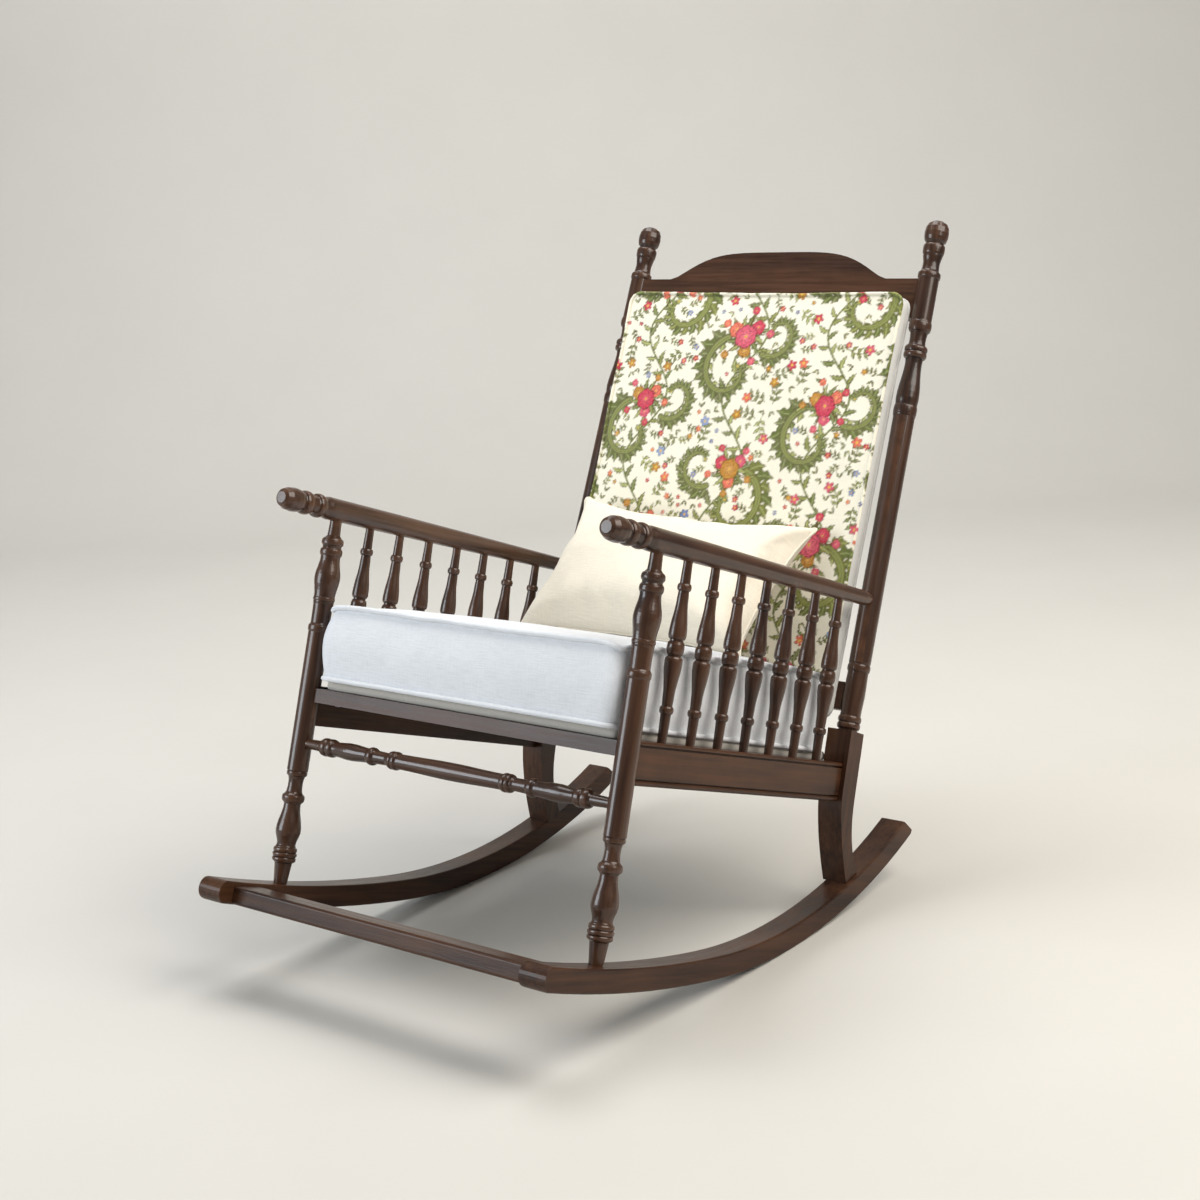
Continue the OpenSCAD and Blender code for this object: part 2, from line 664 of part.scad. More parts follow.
module side_rail(side) {
    start = cope_share * front_body;
    color(walnut) at_rest() on_side(side) difference() {
        union() {
            difference() {
                translate([side_inner, seat_depth - glue, seat_height - side_rail_height]) rotate([90, 0, 0])
                    linear_extrude(seat_depth - glue - start) side_rail_section();
                translate([post_x, 0, 0]) cylinder(h = 2 * seat_height, r = front_body + glue);
            }
            side_rail_tenons(0);
        }
        for (i = [1:spindle_count])
            translate([post_x, spindle_y(i), seat_height - spindle_tenon - glue])
                cylinder(h = 2 * spindle_tenon, r = spindle_end_share * spindle_radius + glue);
    }
}

module front_rail() {
    color(walnut) at_rest() {
        difference() {
            translate([0, front_rail_depth / 2 - front_rail_reach, deck_seat - front_rail_height / 2])
                cube([2 * (side_inner - glue), front_rail_depth, front_rail_height], center = true);
            both_sides() translate([post_x, 0, 0]) cylinder(h = 2 * seat_height, r = front_body + glue);
        }
        front_rail_tenon(0);
    }
}

module rear_rail() {
    color(walnut) at_rest() {
        translate([0, seat_depth + rear_rail_depth / 2, deck_seat - rear_rail_height / 2])
            cube([2 * (leg_inner - glue), rear_rail_depth, rear_rail_height], center = true);
        rear_rail_tenon(0);
    }
}

module deck_cleat(side) {
    from = front_rail_back + block_leg + glue;
    to = seat_depth - block_leg - glue;
    color(walnut) at_rest() on_side(side)
        translate([side_inner - glue - cleat_depth, from, deck_seat - cleat_height])
            cube([cleat_depth, to - from, cleat_height]);
}

// Origin at the inner corner of two rails, X inwards and Y towards the chair's middle
module in_corner(end, side) {
    on_side(side)
        translate([side_inner - glue, end == "front" ? front_rail_back + glue : seat_depth - glue,
            deck_seat - front_rail_height])
            mirror([1, 0, 0]) mirror([0, end == "front" ? 0 : 1, 0]) children();
}

module at_deck_screw() {
    translate([screw_place_share * block_leg, screw_place_share * block_leg, 0]) children();
}

module corner_block(end, side) {
    nose = block_nose_share * block_leg;
    color(walnut) at_rest() in_corner(end, side) difference() {
        linear_extrude(front_rail_height)
            polygon([[0, 0], [block_leg, 0], [block_leg, nose], [nose, block_leg], [0, block_leg]]);
        at_deck_screw() translate([0, 0, -over])
            cylinder(h = front_rail_height + 2 * over, r = screw_radius + glue);
    }
}

module deck_screws() {
    color(steel) at_rest() for (end = ["front", "rear"])
        for (side = ["left", "right"])
            in_corner(end, side) at_deck_screw() {
                cylinder(h = front_rail_height + screw_bite, r = screw_radius);
                translate([0, 0, -screw_head]) rotate_extrude()
                    polygon([[0, 0], [screw_head_radius * 3 / 4, 0], [screw_head_radius, screw_head / 2],
                        [screw_head_radius, screw_head], [0, screw_head]]);
            }
}

// Arms
module arm_tenon_shape(play) {
    translate([0, 0, arm_length - over])
        cylinder(h = arm_tenon + over + glue + play, r = arm_tenon_radius + play);
}

module arm(side) {
    color(walnut) at_rest() on_side(side) difference() {
        in_arm() {
            turned(arm_shares, arm_length, arm_radius);
            arm_tenon_shape(0);
        }
        translate([post_x, 0, 0])
            cylinder(h = front_post_length + glue, r = neck_share * front_post_radius + glue);
        for (i = [1:spindle_count])
            translate([post_x, spindle_y(i), seat_height])
                cylinder(h = arm_at(spindle_y(i)) - seat_height + glue,
                    r = spindle_end_share * spindle_radius + glue);
    }
}

function spindle_y(i) = spindle_start + (i - 1) * spindle_pitch;

module arm_spindle(side, i) {
    color(walnut) at_rest() on_side(side) translate([post_x, spindle_y(i), seat_height]) {
        turned(spindle_shares, arm_at(spindle_y(i)) - seat_height, spindle_radius);
        translate([0, 0, -spindle_tenon]) cylinder(h = spindle_tenon, r = spindle_end_share * spindle_radius);
    }
}

// Back
module back_rail_tenon(start, height, play) {
    tall = tenon_height_share * height + 2 * play;
    reach = back_x - start * tan(back_lean) - cope_share * back_post_radius + play;
    translate([0, 0, start + height / 2]) cube([2 * reach, tenon_thick + 2 * play, tall], center = true);
}

// Cuts a back rail's ends to the two round posts
module coped(radius) {
    difference() {
        children();
        both_sides() translate([back_x, 0, 0]) rotate([0, -back_lean, 0])
            cylinder(h = back_post_length, r = radius + glue);
    }
}

module crest_rail() {
    steps = 16;
    top = [for (i = [-steps:steps]) let (t = abs(i / steps))
        [-crest_span * i / steps, crest_height + crest_rise * pow(1 - pow(t, crest_bend), crest_ease)]];
    color(walnut) at_rest() in_back() {
        coped(crest_body_share * back_post_radius) translate([0, crest_thick / 2, crest_start])
            rotate([90, 0, 0]) linear_extrude(crest_thick)
                polygon(concat([[-back_rail_half, 0], [back_rail_half, 0], [back_rail_half, crest_height]],
                    top, [[-back_rail_half, crest_height]]));
        back_rail_tenon(crest_start, crest_height, 0);
    }
}

module back_rail(start, height, body_share) {
    color(walnut) at_rest() in_back() difference() {
        union() {
            coped(body_share * back_post_radius) translate([0, 0, start + height / 2])
                cube([2 * back_rail_half, crest_thick, height], center = true);
            back_rail_tenon(start, height, 0);
        }
        for (i = [1:slat_count])
            back_slat_shape(i, glue);
    }
}

module back_slat_shape(i, play) {
    pitch = 2 * pad_half / slat_count;
    translate([(i - (slat_count + 1) / 2) * pitch, 0, slat_start + slat_length / 2])
        cube([slat_width + 2 * play, slat_thick + 2 * play, slat_length + 2 * play], center = true);
}

module upper_back_rail() {
    back_rail(upper_rail_start, upper_rail_height, crest_body_share);
}

module lower_back_rail() {
    back_rail(lower_rail_start, lower_rail_height, lower_body_share);
}

module back_slat(i) {
    color(walnut) at_rest() in_back() back_slat_shape(i, 0);
}

// Cushions
module seat_deck() {
    color(beige) at_rest() difference() {
        translate([0, (deck_front + deck_back) / 2, deck_seat + deck_thick / 2])
            side_view(2 * deck_half) bar_section(deck_back - deck_front, deck_thick, deck_edge);
        for (end = ["front", "rear"])
            for (side = ["left", "right"])
                in_corner(end, side) at_deck_screw()
                    cylinder(h = front_rail_height + screw_bite + glue, r = screw_radius + glue);
    }
}

// Plan of a cushion, anticlockwise: rounded corners joined by sides that draw in between them
function cushion_plan(half_x, half_y, corner, draw) = [for (k = [0:3])
    let (sx = k == 0 || k == 3 ? 1 : -1, sy = k < 2 ? 1 : -1,
        arc_centre = [sx * (half_x - corner), sy * (half_y - corner)],
        out = [cos(90 * k + 90), sin(90 * k + 90)],
        from = arc_centre + corner * out,
        run = k % 2 == 0 ? [-2 * arc_centre[0], 0] : [0, -2 * arc_centre[1]])
    for (j = [0:corner_steps + side_steps - 1])
        j <= corner_steps
            ? arc_centre + corner * [cos(90 * (k + j / corner_steps)), sin(90 * (k + j / corner_steps))]
            : let (v = (j - corner_steps) / side_steps) from + run * v - draw * sin(180 * v) * out];

function crown_at(x, y, half_x, half_y) =
    (1 - pow(abs(x / half_x), crown_bend)) * (1 - pow(abs(y / half_y), crown_bend));

function raised(plan, z) = [for (p = plan) [p[0], p[1], z]];

// Closes a stack of rings, each with as many points, between a first and a last point
module ring_stack(rings, first, last) {
    n = len(rings[0]);
    top = len(rings) - 1;
    points = concat([first], [for (r = rings) for (p = r) p], [last]);
    faces = concat(
        [for (i = [0:n - 1]) [0, 1 + i, 1 + (i + 1) % n]],
        [for (r = [0:top - 1]) for (i = [0:n - 1]) each let (a = 1 + r * n + i, d = 1 + r * n + (i + 1) % n)
            [[a, a + n, d + n], [a, d + n, d]]],
        [for (i = [0:n - 1]) [len(points) - 1, 1 + top * n + (i + 1) % n, 1 + top * n + i]]);
    polyhedron(points, faces);
}

// A boxed cushion that lies on z = 0, with a swell in its boxing and a crown on top
function boxed_rings(half_x, half_y, thick, corner, draw, swell, crown, rise) =
    let (edge = corner / 4,
        lip = cushion_plan(half_x - edge / 2, half_y - edge / 2, corner - edge / 2, draw),
        lift = function(x, y, z) z + rise * z / thick * (y / half_y + 1) / 2,
        flat = concat([raised(lip, 0)],
            [for (k = [0:swell_steps]) let (out = swell * sin(180 * k / swell_steps) - swell)
                raised(cushion_plan(half_x + out, half_y + out, corner + out, draw),
                    edge / 2 + (thick - edge) * k / swell_steps)],
            [raised(lip, thick)]),
        crowned = [for (j = [1:crown_steps - 1]) [for (p = lip) let (q = (1 - j / crown_steps) * p)
            [q[0], q[1], thick + crown * crown_at(q[0], q[1], half_x, half_y)]]])
    [for (r = concat(flat, crowned)) [for (p = r) [p[0], p[1], lift(p[0], p[1], p[2])]]];

module boxed_cushion(half_x, half_y, thick, corner, draw, swell, crown, rise) {
    ring_stack(boxed_rings(half_x, half_y, thick, corner, draw, swell, crown, rise),
        [0, 0, 0], [0, 0, thick + crown + rise * (thick + crown) / thick / 2]);
}

module back_pad() {
    color(cream) at_rest() in_back()
        translate([0, -crest_thick / 2 - soft_gap, pad_foot + pad_height / 2]) rotate([90, 0, 0])
            boxed_cushion(pad_half, pad_height / 2, pad_thick, pad_corner, pad_draw, 0, pad_crown, 0);
}

module seat_cushion() {
    color(linen) at_rest() translate([0, cushion_middle, cushion_bottom])
        boxed_cushion(cushion_half, cushion_half_depth, cushion_thick, cushion_corner, cushion_draw,
            cushion_swell, cushion_crown, cushion_rise);
}

// Top of the seat cushion at a place in the chair
function cushion_top(x, y) = let (v = y - cushion_middle,
        z = cushion_thick + cushion_crown * crown_at(x, v, cushion_half, cushion_half_depth))
    cushion_bottom + z + cushion_rise * z / cushion_thick * (v / cushion_half_depth + 1) / 2;

// Half the pillow's thickness at a point of its plan that lies at share q of the way to the edge
function pillow_half(p, q) = pillow_thick / 2 * pow(1 - pow(q, pillow_bend), pillow_ease)
    * (1 - pillow_ear_share * 4 * abs(p[0] * p[1]) / (pillow_width * pillow_height));

pillow_plan = cushion_plan(pillow_width / 2, pillow_height / 2, pillow_corner, pillow_draw);
pillow_rings = [for (j = [1:2 * crown_steps + 1])
    let (q = 1 - abs(j / (crown_steps + 1) - 1), face = j > crown_steps ? 1 : -1)
    [for (p = pillow_plan) [q * p[0], q * p[1], face * pillow_half(q * p, q)]]];
// How far the leaning pillow would sink into the cushion with its middle on the deck
pillow_sink = min([for (r = pillow_rings) for (p = r)
    let (y = pillow_place + p[1] * sin(pillow_lean) - p[2] * cos(pillow_lean))
    p[1] * cos(pillow_lean) + p[2] * sin(pillow_lean) - cushion_top(p[0] - pillow_shift, y)]);

module throw_pillow() {
    color(cream) at_rest() translate([-pillow_shift, pillow_place, soft_gap - pillow_sink])
        rotate([90 - pillow_lean, 0, 0])
            ring_stack(pillow_rings, [0, 0, -pillow_thick / 2], [0, 0, pillow_thick / 2]);
}

for (side = ["left", "right"]) {
    rocker(side);
    front_post(side);
    rear_leg(side);
    back_post(side);
    side_rail(side);
    deck_cleat(side);
    corner_block("front", side);
    corner_block("rear", side);
    arm(side);
    for (i = [1:spindle_count])
        arm_spindle(side, i);
}
front_board();
front_stretcher();
front_rail();
rear_rail();
deck_screws();
crest_rail();
upper_back_rail();
lower_back_rail();
for (i = [1:slat_count])
    back_slat(i);
seat_deck();
back_pad();
seat_cushion();
throw_pillow();
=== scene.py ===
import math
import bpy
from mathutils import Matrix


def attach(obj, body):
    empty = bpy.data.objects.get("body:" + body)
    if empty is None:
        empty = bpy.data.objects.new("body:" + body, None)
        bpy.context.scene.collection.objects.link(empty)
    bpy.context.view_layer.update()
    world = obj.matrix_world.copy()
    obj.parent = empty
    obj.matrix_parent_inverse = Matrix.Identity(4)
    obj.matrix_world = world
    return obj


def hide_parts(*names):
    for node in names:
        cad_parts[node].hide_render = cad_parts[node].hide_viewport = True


bl_info = {
    "name": "Bow Rocking Chair",
    "version": (1, 0, 0),
    "blender": (4, 5, 0),
    "location": "View3D > Sidebar > Rocking Chair",
    "description": "Finishes and loose cushions for a turned rocking chair",
    "category": "Object",
}

import bmesh
import bpy
import numpy as np
from bpy.props import FloatProperty, FloatVectorProperty, IntProperty, PointerProperty
from mathutils import Vector

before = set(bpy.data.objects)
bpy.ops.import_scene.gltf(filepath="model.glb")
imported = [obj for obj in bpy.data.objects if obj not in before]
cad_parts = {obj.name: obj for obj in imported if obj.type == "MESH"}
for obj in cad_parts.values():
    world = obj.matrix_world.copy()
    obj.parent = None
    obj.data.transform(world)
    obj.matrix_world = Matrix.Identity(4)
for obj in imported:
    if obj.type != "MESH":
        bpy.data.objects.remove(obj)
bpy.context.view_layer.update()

MM = 0.001
BODY_CHAIR = "chair_frame"
BODY_SEAT = "loose_seat_cushion"
BODY_PILLOW = "loose_throw_pillow"

# How the chair leans back at rest, and how its back and the throw pillow lean against that
REST_TILT = math.radians(18.5)
BACK_RECLINE = math.radians(5.4)
PILLOW_LEAN = math.radians(37)

# Turns about X that bring each padded piece from its own flat frame to its place
SEAT_TURN = -REST_TILT
PAD_TURN = math.pi / 2 - REST_TILT - BACK_RECLINE
PILLOW_TURN = math.pi / 2 - REST_TILT - PILLOW_LEAN

# Ways in which the grain runs, and the wooden pieces that take them; the others stand upright
GRAIN_WAYS = (
    ("deep", ("rocker", "side_rail", "deck_cleat", "arm_left", "arm_right")),
    ("across", ("front_board", "front_stretcher", "front_rail", "rear_rail", "corner_block",
                "crest_rail", "upper_back_rail", "lower_back_rail")),
    ("back", ("back_post", "back_slat")),
)

# Turned pieces, whose rings are scuffed and lightened as a painted highlight; the others are sawn
TURNED = ("front_post", "back_post", "arm_", "front_stretcher")
NOT_WOOD = ("seat_deck", "back_pad", "seat_cushion", "throw_pillow", "deck_screws")

# Figure, streaks and pores: waves per metre across and along the grain, detail and roughness
GRAIN_WAVES = (((26, 26, 1.8), 4.0, 0.6), ((170, 170, 6), 3.0, 0.65), ((900, 900, 36), 2.0, 0.6))

# Seat cushion: thickness at the front, half its width, and the reach of its gathers and dents
SEAT_THICK = 104 * MM
SEAT_HALF = 265 * MM
GATHER_REACH = 16 * MM
DENT_REACH = 9 * MM

# Canvas of the printed cloth: its cells, and how far it runs past the pad
PRINT_CELL = 1 * MM
PRINT_MARGIN = 10 * MM

# Camera: place in metres, turns in degrees, lens and sensor in millimetres
CAMERA_PLACE = (1.7403, -2.2238, 1.1077)
CAMERA_TURNS = (77.484, 2.741, 37.461)
CAMERA_LENS = 59.30
CAMERA_SENSOR = 36

# Lights: name, place, what they face, width in metres, power in watts and colour
LIGHTS = (
    ("key_light", (2.6, 0.5, 3.2), (0.0, 0.0, 0.4), 3.0, 175, (1.0, 0.94, 0.86)),
    ("front_light", (-2.3, -3.3, 1.6), (0.0, 0.0, 0.5), 2.0, 115, (0.88, 0.94, 1.0)),
    ("wall_light", (-1.2, 0.6, 4.6), (-2.2, 3.0, 0.6), 3.0, 150, (1.0, 1.0, 1.0)),
)
SKY_COLOUR = (0.86, 0.88, 0.88, 1)
SKY_STRENGTH = 0.22


# Properties

def colour_property(name, description, default):
    return FloatVectorProperty(name=name, description=description, default=default,
                               subtype="COLOR", min=0, max=1, size=3)


def length_property(name, description, default):
    return FloatProperty(name=name, description=description, default=default,
                         unit="LENGTH", subtype="DISTANCE", min=0)


class ChairFinishes(bpy.types.PropertyGroup):
    """Colours of the stain, the cloths and the studio"""

    wood_dark: colour_property("Stain in the grain", "Darkest tone of the stained wood",
                               (0.013, 0.0050, 0.0030))
    wood_light: colour_property("Stain on the wood", "Usual tone of the stained wood",
                                (0.072, 0.0300, 0.0135))
    # Amber of the scuffed edges and rings, which also serves as a painted highlight on them
    wood_worn_highlight: colour_property("Worn edges", "Tone of the rubbed edges and rings",
                               (0.170, 0.074, 0.034))
    linen_white: colour_property("White linen", "Cloth of the seat cushion", (0.70, 0.72, 0.75))
    linen_cream: colour_property("Cream linen", "Cloth of the throw pillow", (0.78, 0.72, 0.60))
    lining_grey: colour_property("Lining", "Plain cloth round the back pad", (0.66, 0.66, 0.64))
    # Painted shade: the deck's linen is greyed to how it looks in the shade under the cushion's overhang
    deck_linen_shaded: colour_property("Deck cloth", "Cloth of the seat deck", (0.52, 0.49, 0.44))
    floor_pale: colour_property("Floor", "Colour of the studio floor", (0.60, 0.585, 0.55))


class CushionSizes(bpy.types.PropertyGroup):
    """Sizes of the cushions' cells, cords and stuffing"""

    seat_cell: length_property("Seat cell", "Mesh cell of the seat cushion", 6 * MM)
    pad_cell: length_property("Pad cell", "Mesh cell of the back pad", 8 * MM)
    pillow_cell: length_property("Pillow cell", "Mesh cell of the throw pillow", 6 * MM)
    deck_cell: length_property("Deck cell", "Mesh cell of the seat deck", 8 * MM)
    seat_welt: length_property("Seat welt", "Radius of the seat cushion's welts", 3.8 * MM)
    pad_welt: length_property("Pad welt", "Radius of the back pad's welts", 2.6 * MM)
    pillow_welt: length_property("Pillow welt", "Radius of the throw pillow's welt", 1.8 * MM)
    stuffing: FloatProperty(name="Stuffing", description="Pressure inside the cushions",
                            default=4, min=0, soft_max=10)
    settle_frames: IntProperty(name="Settling", description="Frames in which a cushion swells",
                               default=20, min=1, max=60)


# Node helpers

def feed(tree, node, inputs):
    """Links or sets a node's inputs, by their names or numbers."""
    for key, value in inputs.items():
        if isinstance(value, bpy.types.NodeSocket):
            tree.links.new(value, node.inputs[key])
        else:
            node.inputs[key].default_value = value


def add_node(tree, kind, inputs=None, **settings):
    made = tree.nodes.new(kind)
    for key, value in settings.items():
        setattr(made, key, value)
    feed(tree, made, inputs or {})
    return made


def math_node(tree, operation, a, b=None):
    inputs = {0: a} if b is None else {0: a, 1: b}
    return add_node(tree, "ShaderNodeMath", inputs, operation=operation).outputs[0]


def total(tree, a, b):
    return math_node(tree, "ADD", a, b)


def product(tree, a, b):
    return math_node(tree, "MULTIPLY", a, b)


def mix_colours(tree, factor, a, b, blend="MIX"):
    return add_node(tree, "ShaderNodeMix", {"Factor": factor, 6: a, 7: b},
                    data_type="RGBA", blend_type=blend).outputs[2]


def shaded(tree, colour, shade):
    """A colour times a grey."""
    grey = add_node(tree, "ShaderNodeCombineColor", {0: shade, 1: shade, 2: shade}).outputs[0]
    return mix_colours(tree, 1.0, colour, grey, "MULTIPLY")


def bumped(tree, height, strength, distance):
    return add_node(tree, "ShaderNodeBump", {"Strength": strength, "Distance": distance,
                                             "Height": height}).outputs[0]


def map_range(tree, value, low, high, to_low=0.0, to_high=1.0):
    return add_node(tree, "ShaderNodeMapRange", {"Value": value, "From Min": low, "From Max": high,
                                                 "To Min": to_low, "To Max": to_high}).outputs[0]


def new_group(name, kind, inputs, outputs):
    """A new node group with these sockets: the group, what it is given and its output node."""
    tree = bpy.data.node_groups.new(name, kind)
    for label, sort, default in inputs:
        socket = tree.interface.new_socket(label, in_out="INPUT", socket_type="NodeSocket" + sort)
        if default is not None:
            socket.default_value = default
    for label, sort in outputs:
        tree.interface.new_socket(label, in_out="OUTPUT", socket_type="NodeSocket" + sort)
    return tree, tree.nodes.new("NodeGroupInput").outputs, tree.nodes.new("NodeGroupOutput")


def shared_group(name, make):
    return bpy.data.node_groups.get(name) or make()


def group_node(tree, name, make, inputs):
    """The outputs of a node that uses a shared group."""
    return add_node(tree, "ShaderNodeGroup", inputs, node_tree=shared_group(name, make)).outputs


def rgba(colour):
    return (*colour, 1.0)


def stretched(tree, vector, scale):
    return add_node(tree, "ShaderNodeVectorMath", {0: vector, 1: scale}, operation="MULTIPLY").outputs[0]


def noise(tree, vector, scale, detail=3.0, roughness=0.5):
    return add_node(tree, "ShaderNodeTexNoise", {"Vector": vector, "Scale": scale, "Detail": detail,
                                                 "Roughness": roughness}).outputs["Fac"]


# Shared shader effects

def wood_grain_group():
    """Stained grain that runs along Z of its vector: colour, roughness and pores."""
    tree, given, out = new_group(
        "Stained Grain", "ShaderNodeTree",
        [("Vector", "Vector", None), ("Dark", "Color", (0, 0, 0, 1)), ("Light", "Color", (1, 1, 1, 1)),
         ("Gloss", "Float", 0.3)],
        [("Color", "Color"), ("Roughness", "Float"), ("Height", "Float")])
    figure, streaks, pores = (noise(tree, stretched(tree, given["Vector"], waves), 1.0, detail, roughness)
                              for waves, detail, roughness in GRAIN_WAVES)
    cloud = noise(tree, given["Vector"], 7.0, 2.0)
    tone = total(tree, product(tree, figure, 0.55), product(tree, streaks, 0.45))
    tone = total(tree, tone, product(tree, cloud, 0.25))
    stain = mix_colours(tree, map_range(tree, tone, 0.47, 0.76), given["Dark"], given["Light"])
    gloss = total(tree, given["Gloss"], map_range(tree, streaks, 0.3, 0.7, -0.05, 0.09))
    feed(tree, out, {"Color": stain, "Roughness": gloss, "Height": map_range(tree, pores, 0.35, 0.6)})
    return tree


def edge_wear_highlight_shade_group():
    """Scuffed edges that also carry a painted highlight, and painted shade in the hollows, from how sharply
    the surface bends.
    """
    tree, given, out = new_group(
        "Rubbed Edges Highlight Shade", "ShaderNodeTree",
        [("Vector", "Vector", None), ("Pointiness", "Float", 0.5), ("Color", "Color", (0, 0, 0, 1)),
         ("Worn And Lit", "Color", (1, 1, 1, 1)), ("Amount", "Float", 0.5)],
        [("Color", "Color")])
    patches = map_range(tree, noise(tree, given["Vector"], 38.0, 4.0, 0.6), 0.30, 0.66)
    edge = map_range(tree, given["Pointiness"], 0.515, 0.60)
    # Real scuffing together with a painted highlight: convex edges in noisy patches are lightened toward
    # the amber tone
    rubbed_and_lit = product(tree, product(tree, edge, patches), given["Amount"])
    # Painted shade: concave hollows are darkened to about half, as shade falls in grooves and between rings
    hollow_shade = map_range(tree, given["Pointiness"], 0.40, 0.49, 0.45, 1.0)
    worn_and_lit = mix_colours(tree, rubbed_and_lit, given["Color"], given["Worn And Lit"])
    feed(tree, out, {"Color": shaded(tree, worn_and_lit, hollow_shade)})
    return tree


def woven_cloth_group():
    """Plain weave with slubs: a shade about 1 and a height, from a vector in metres."""
    tree, given, out = new_group(
        "Woven Cloth", "ShaderNodeTree",
        [("Vector", "Vector", None), ("Threads per Metre", "Float", 900.0), ("Slubs", "Float", 0.5)],
        [("Shade", "Float"), ("Height", "Float")])
    turns = product(tree, given["Threads per Metre"], math.pi)
    parts = add_node(tree, "ShaderNodeSeparateXYZ", {0: given["Vector"]}).outputs
    warp, weft = (math_node(tree, "SINE", product(tree, parts[axis], turns)) for axis in (0, 1))
    weave = product(tree, warp, weft)
    along = noise(tree, stretched(tree, given["Vector"], (45, 620, 300)), 1.0, 3.0, 0.6)
    across = noise(tree, stretched(tree, given["Vector"], (620, 60, 300)), 1.0, 3.0, 0.6)
    slubs = total(tree, product(tree, along, 0.6), product(tree, across, 0.4))
    slub_height = product(tree, map_range(tree, slubs, 0.40, 0.66), given["Slubs"])
    height = total(tree, map_range(tree, weave, -1.0, 1.0, 0.0, 0.5), slub_height)
    cloud = noise(tree, given["Vector"], 11.0, 3.0)
    shade = total(tree, map_range(tree, slub_height, 0.0, 0.5, 0.93, 1.02),
                  map_range(tree, cloud, 0.3, 0.7, -0.025, 0.02))
    feed(tree, out, {"Shade": shade, "Height": height})
    return tree


# Materials

def new_material(name):
    material = bpy.data.materials.new(name)
    material.use_nodes = True
    tree = material.node_tree
    shader = tree.nodes["Principled BSDF"]
    return material, tree, shader


def stained_wood(name, turn, along, finishes, rubbed_and_lit, coat):
    """Dark satin stain whose grain runs along Z, Y or X of the frame turned about X."""
    material, tree, shader = new_material(name)
    place = add_node(tree, "ShaderNodeTexCoord").outputs["Object"]
    level = add_node(tree, "ShaderNodeVectorRotate", {"Vector": place, "Angle": -turn},
                     rotation_type="X_AXIS").outputs[0]
    parts = add_node(tree, "ShaderNodeSeparateXYZ", {0: level}).outputs
    order = {"Z": (0, 1, 2), "Y": (2, 0, 1), "X": (1, 2, 0)}[along]
    vector = add_node(tree, "ShaderNodeCombineXYZ", {i: parts[k] for i, k in enumerate(order)}).outputs[0]
    bend = add_node(tree, "ShaderNodeNewGeometry").outputs["Pointiness"]
    grain = group_node(tree, "Stained Grain", wood_grain_group, {
        "Vector": vector, "Dark": rgba(finishes.wood_dark), "Light": rgba(finishes.wood_light),
        "Gloss": 0.34})
    wear_highlight_shade = group_node(tree, "Rubbed Edges Highlight Shade", edge_wear_highlight_shade_group, {
        "Vector": place, "Pointiness": bend, "Color": grain["Color"],
        "Worn And Lit": rgba(finishes.wood_worn_highlight), "Amount": rubbed_and_lit})
    feed(tree, shader, {
        "Base Color": wear_highlight_shade["Color"], "Roughness": grain["Roughness"],
        "Normal": bumped(tree, grain["Height"], 0.22, 0.25 * MM),
        "Coat Weight": coat, "Coat Roughness": 0.11, "Specular IOR Level": 0.15 + 0.3 * coat})
    return material


def woven_material(name, colour, source, threads, slubs, attribute=None, bump_strength=0.35):
    """Linen in one colour, or with a printed colour attribute, on UV or Object coordinates."""
    material, tree, shader = new_material(name)
    vector = add_node(tree, "ShaderNodeTexCoord").outputs[source]
    weave = group_node(tree, "Woven Cloth", woven_cloth_group,
                       {"Vector": vector, "Threads per Metre": threads, "Slubs": slubs})
    base = rgba(colour)
    if attribute:
        base = add_node(tree, "ShaderNodeAttribute", attribute_name=attribute).outputs["Color"]
    feed(tree, shader, {
        "Base Color": shaded(tree, base, weave["Shade"]),
        "Normal": bumped(tree, weave["Height"], bump_strength, 0.5 * MM),
        "Roughness": map_range(tree, weave["Height"], 0.0, 1.0, 0.92, 0.80),
        "Specular IOR Level": 0.25, "Sheen Weight": 0.18, "Sheen Roughness": 0.5})
    return material


def plated_steel():
    """Zinc-plated screws."""
    material, tree, shader = new_material("Screw Steel")
    place = add_node(tree, "ShaderNodeTexCoord").outputs["Object"]
    smudges = noise(tree, place, 420.0, 3.0)
    steel = mix_colours(tree, smudges, (0.42, 0.42, 0.43, 1), (0.58, 0.58, 0.60, 1))
    feed(tree, shader, {"Base Color": steel, "Metallic": 1.0,
                        "Roughness": map_range(tree, smudges, 0.3, 0.7, 0.28, 0.42)})
    return material


def dress(node, material):
    """Gives a CAD node one material in place of its own."""
    node.data.materials.clear()
    node.data.materials.append(material)


# Frames of the padded pieces

def turned(points, angle):
    """Points turned about X."""
    c, s = math.cos(angle), math.sin(angle)
    x, y, z = points[:, 0], points[:, 1], points[:, 2]
    return np.column_stack([x, c * y - s * z, s * y + c * z])


def mesh_points(mesh):
    co = np.empty(len(mesh.vertices) * 3)
    mesh.vertices.foreach_get("co", co)
    return co.reshape(-1, 3)


def own_box(node, angle):
    """Lowest and highest corners of a node in the frame that angle turns into place."""
    co = turned(mesh_points(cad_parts[node].data), -angle)
    return co.min(0), co.max(0)


# Meshes of the padded pieces

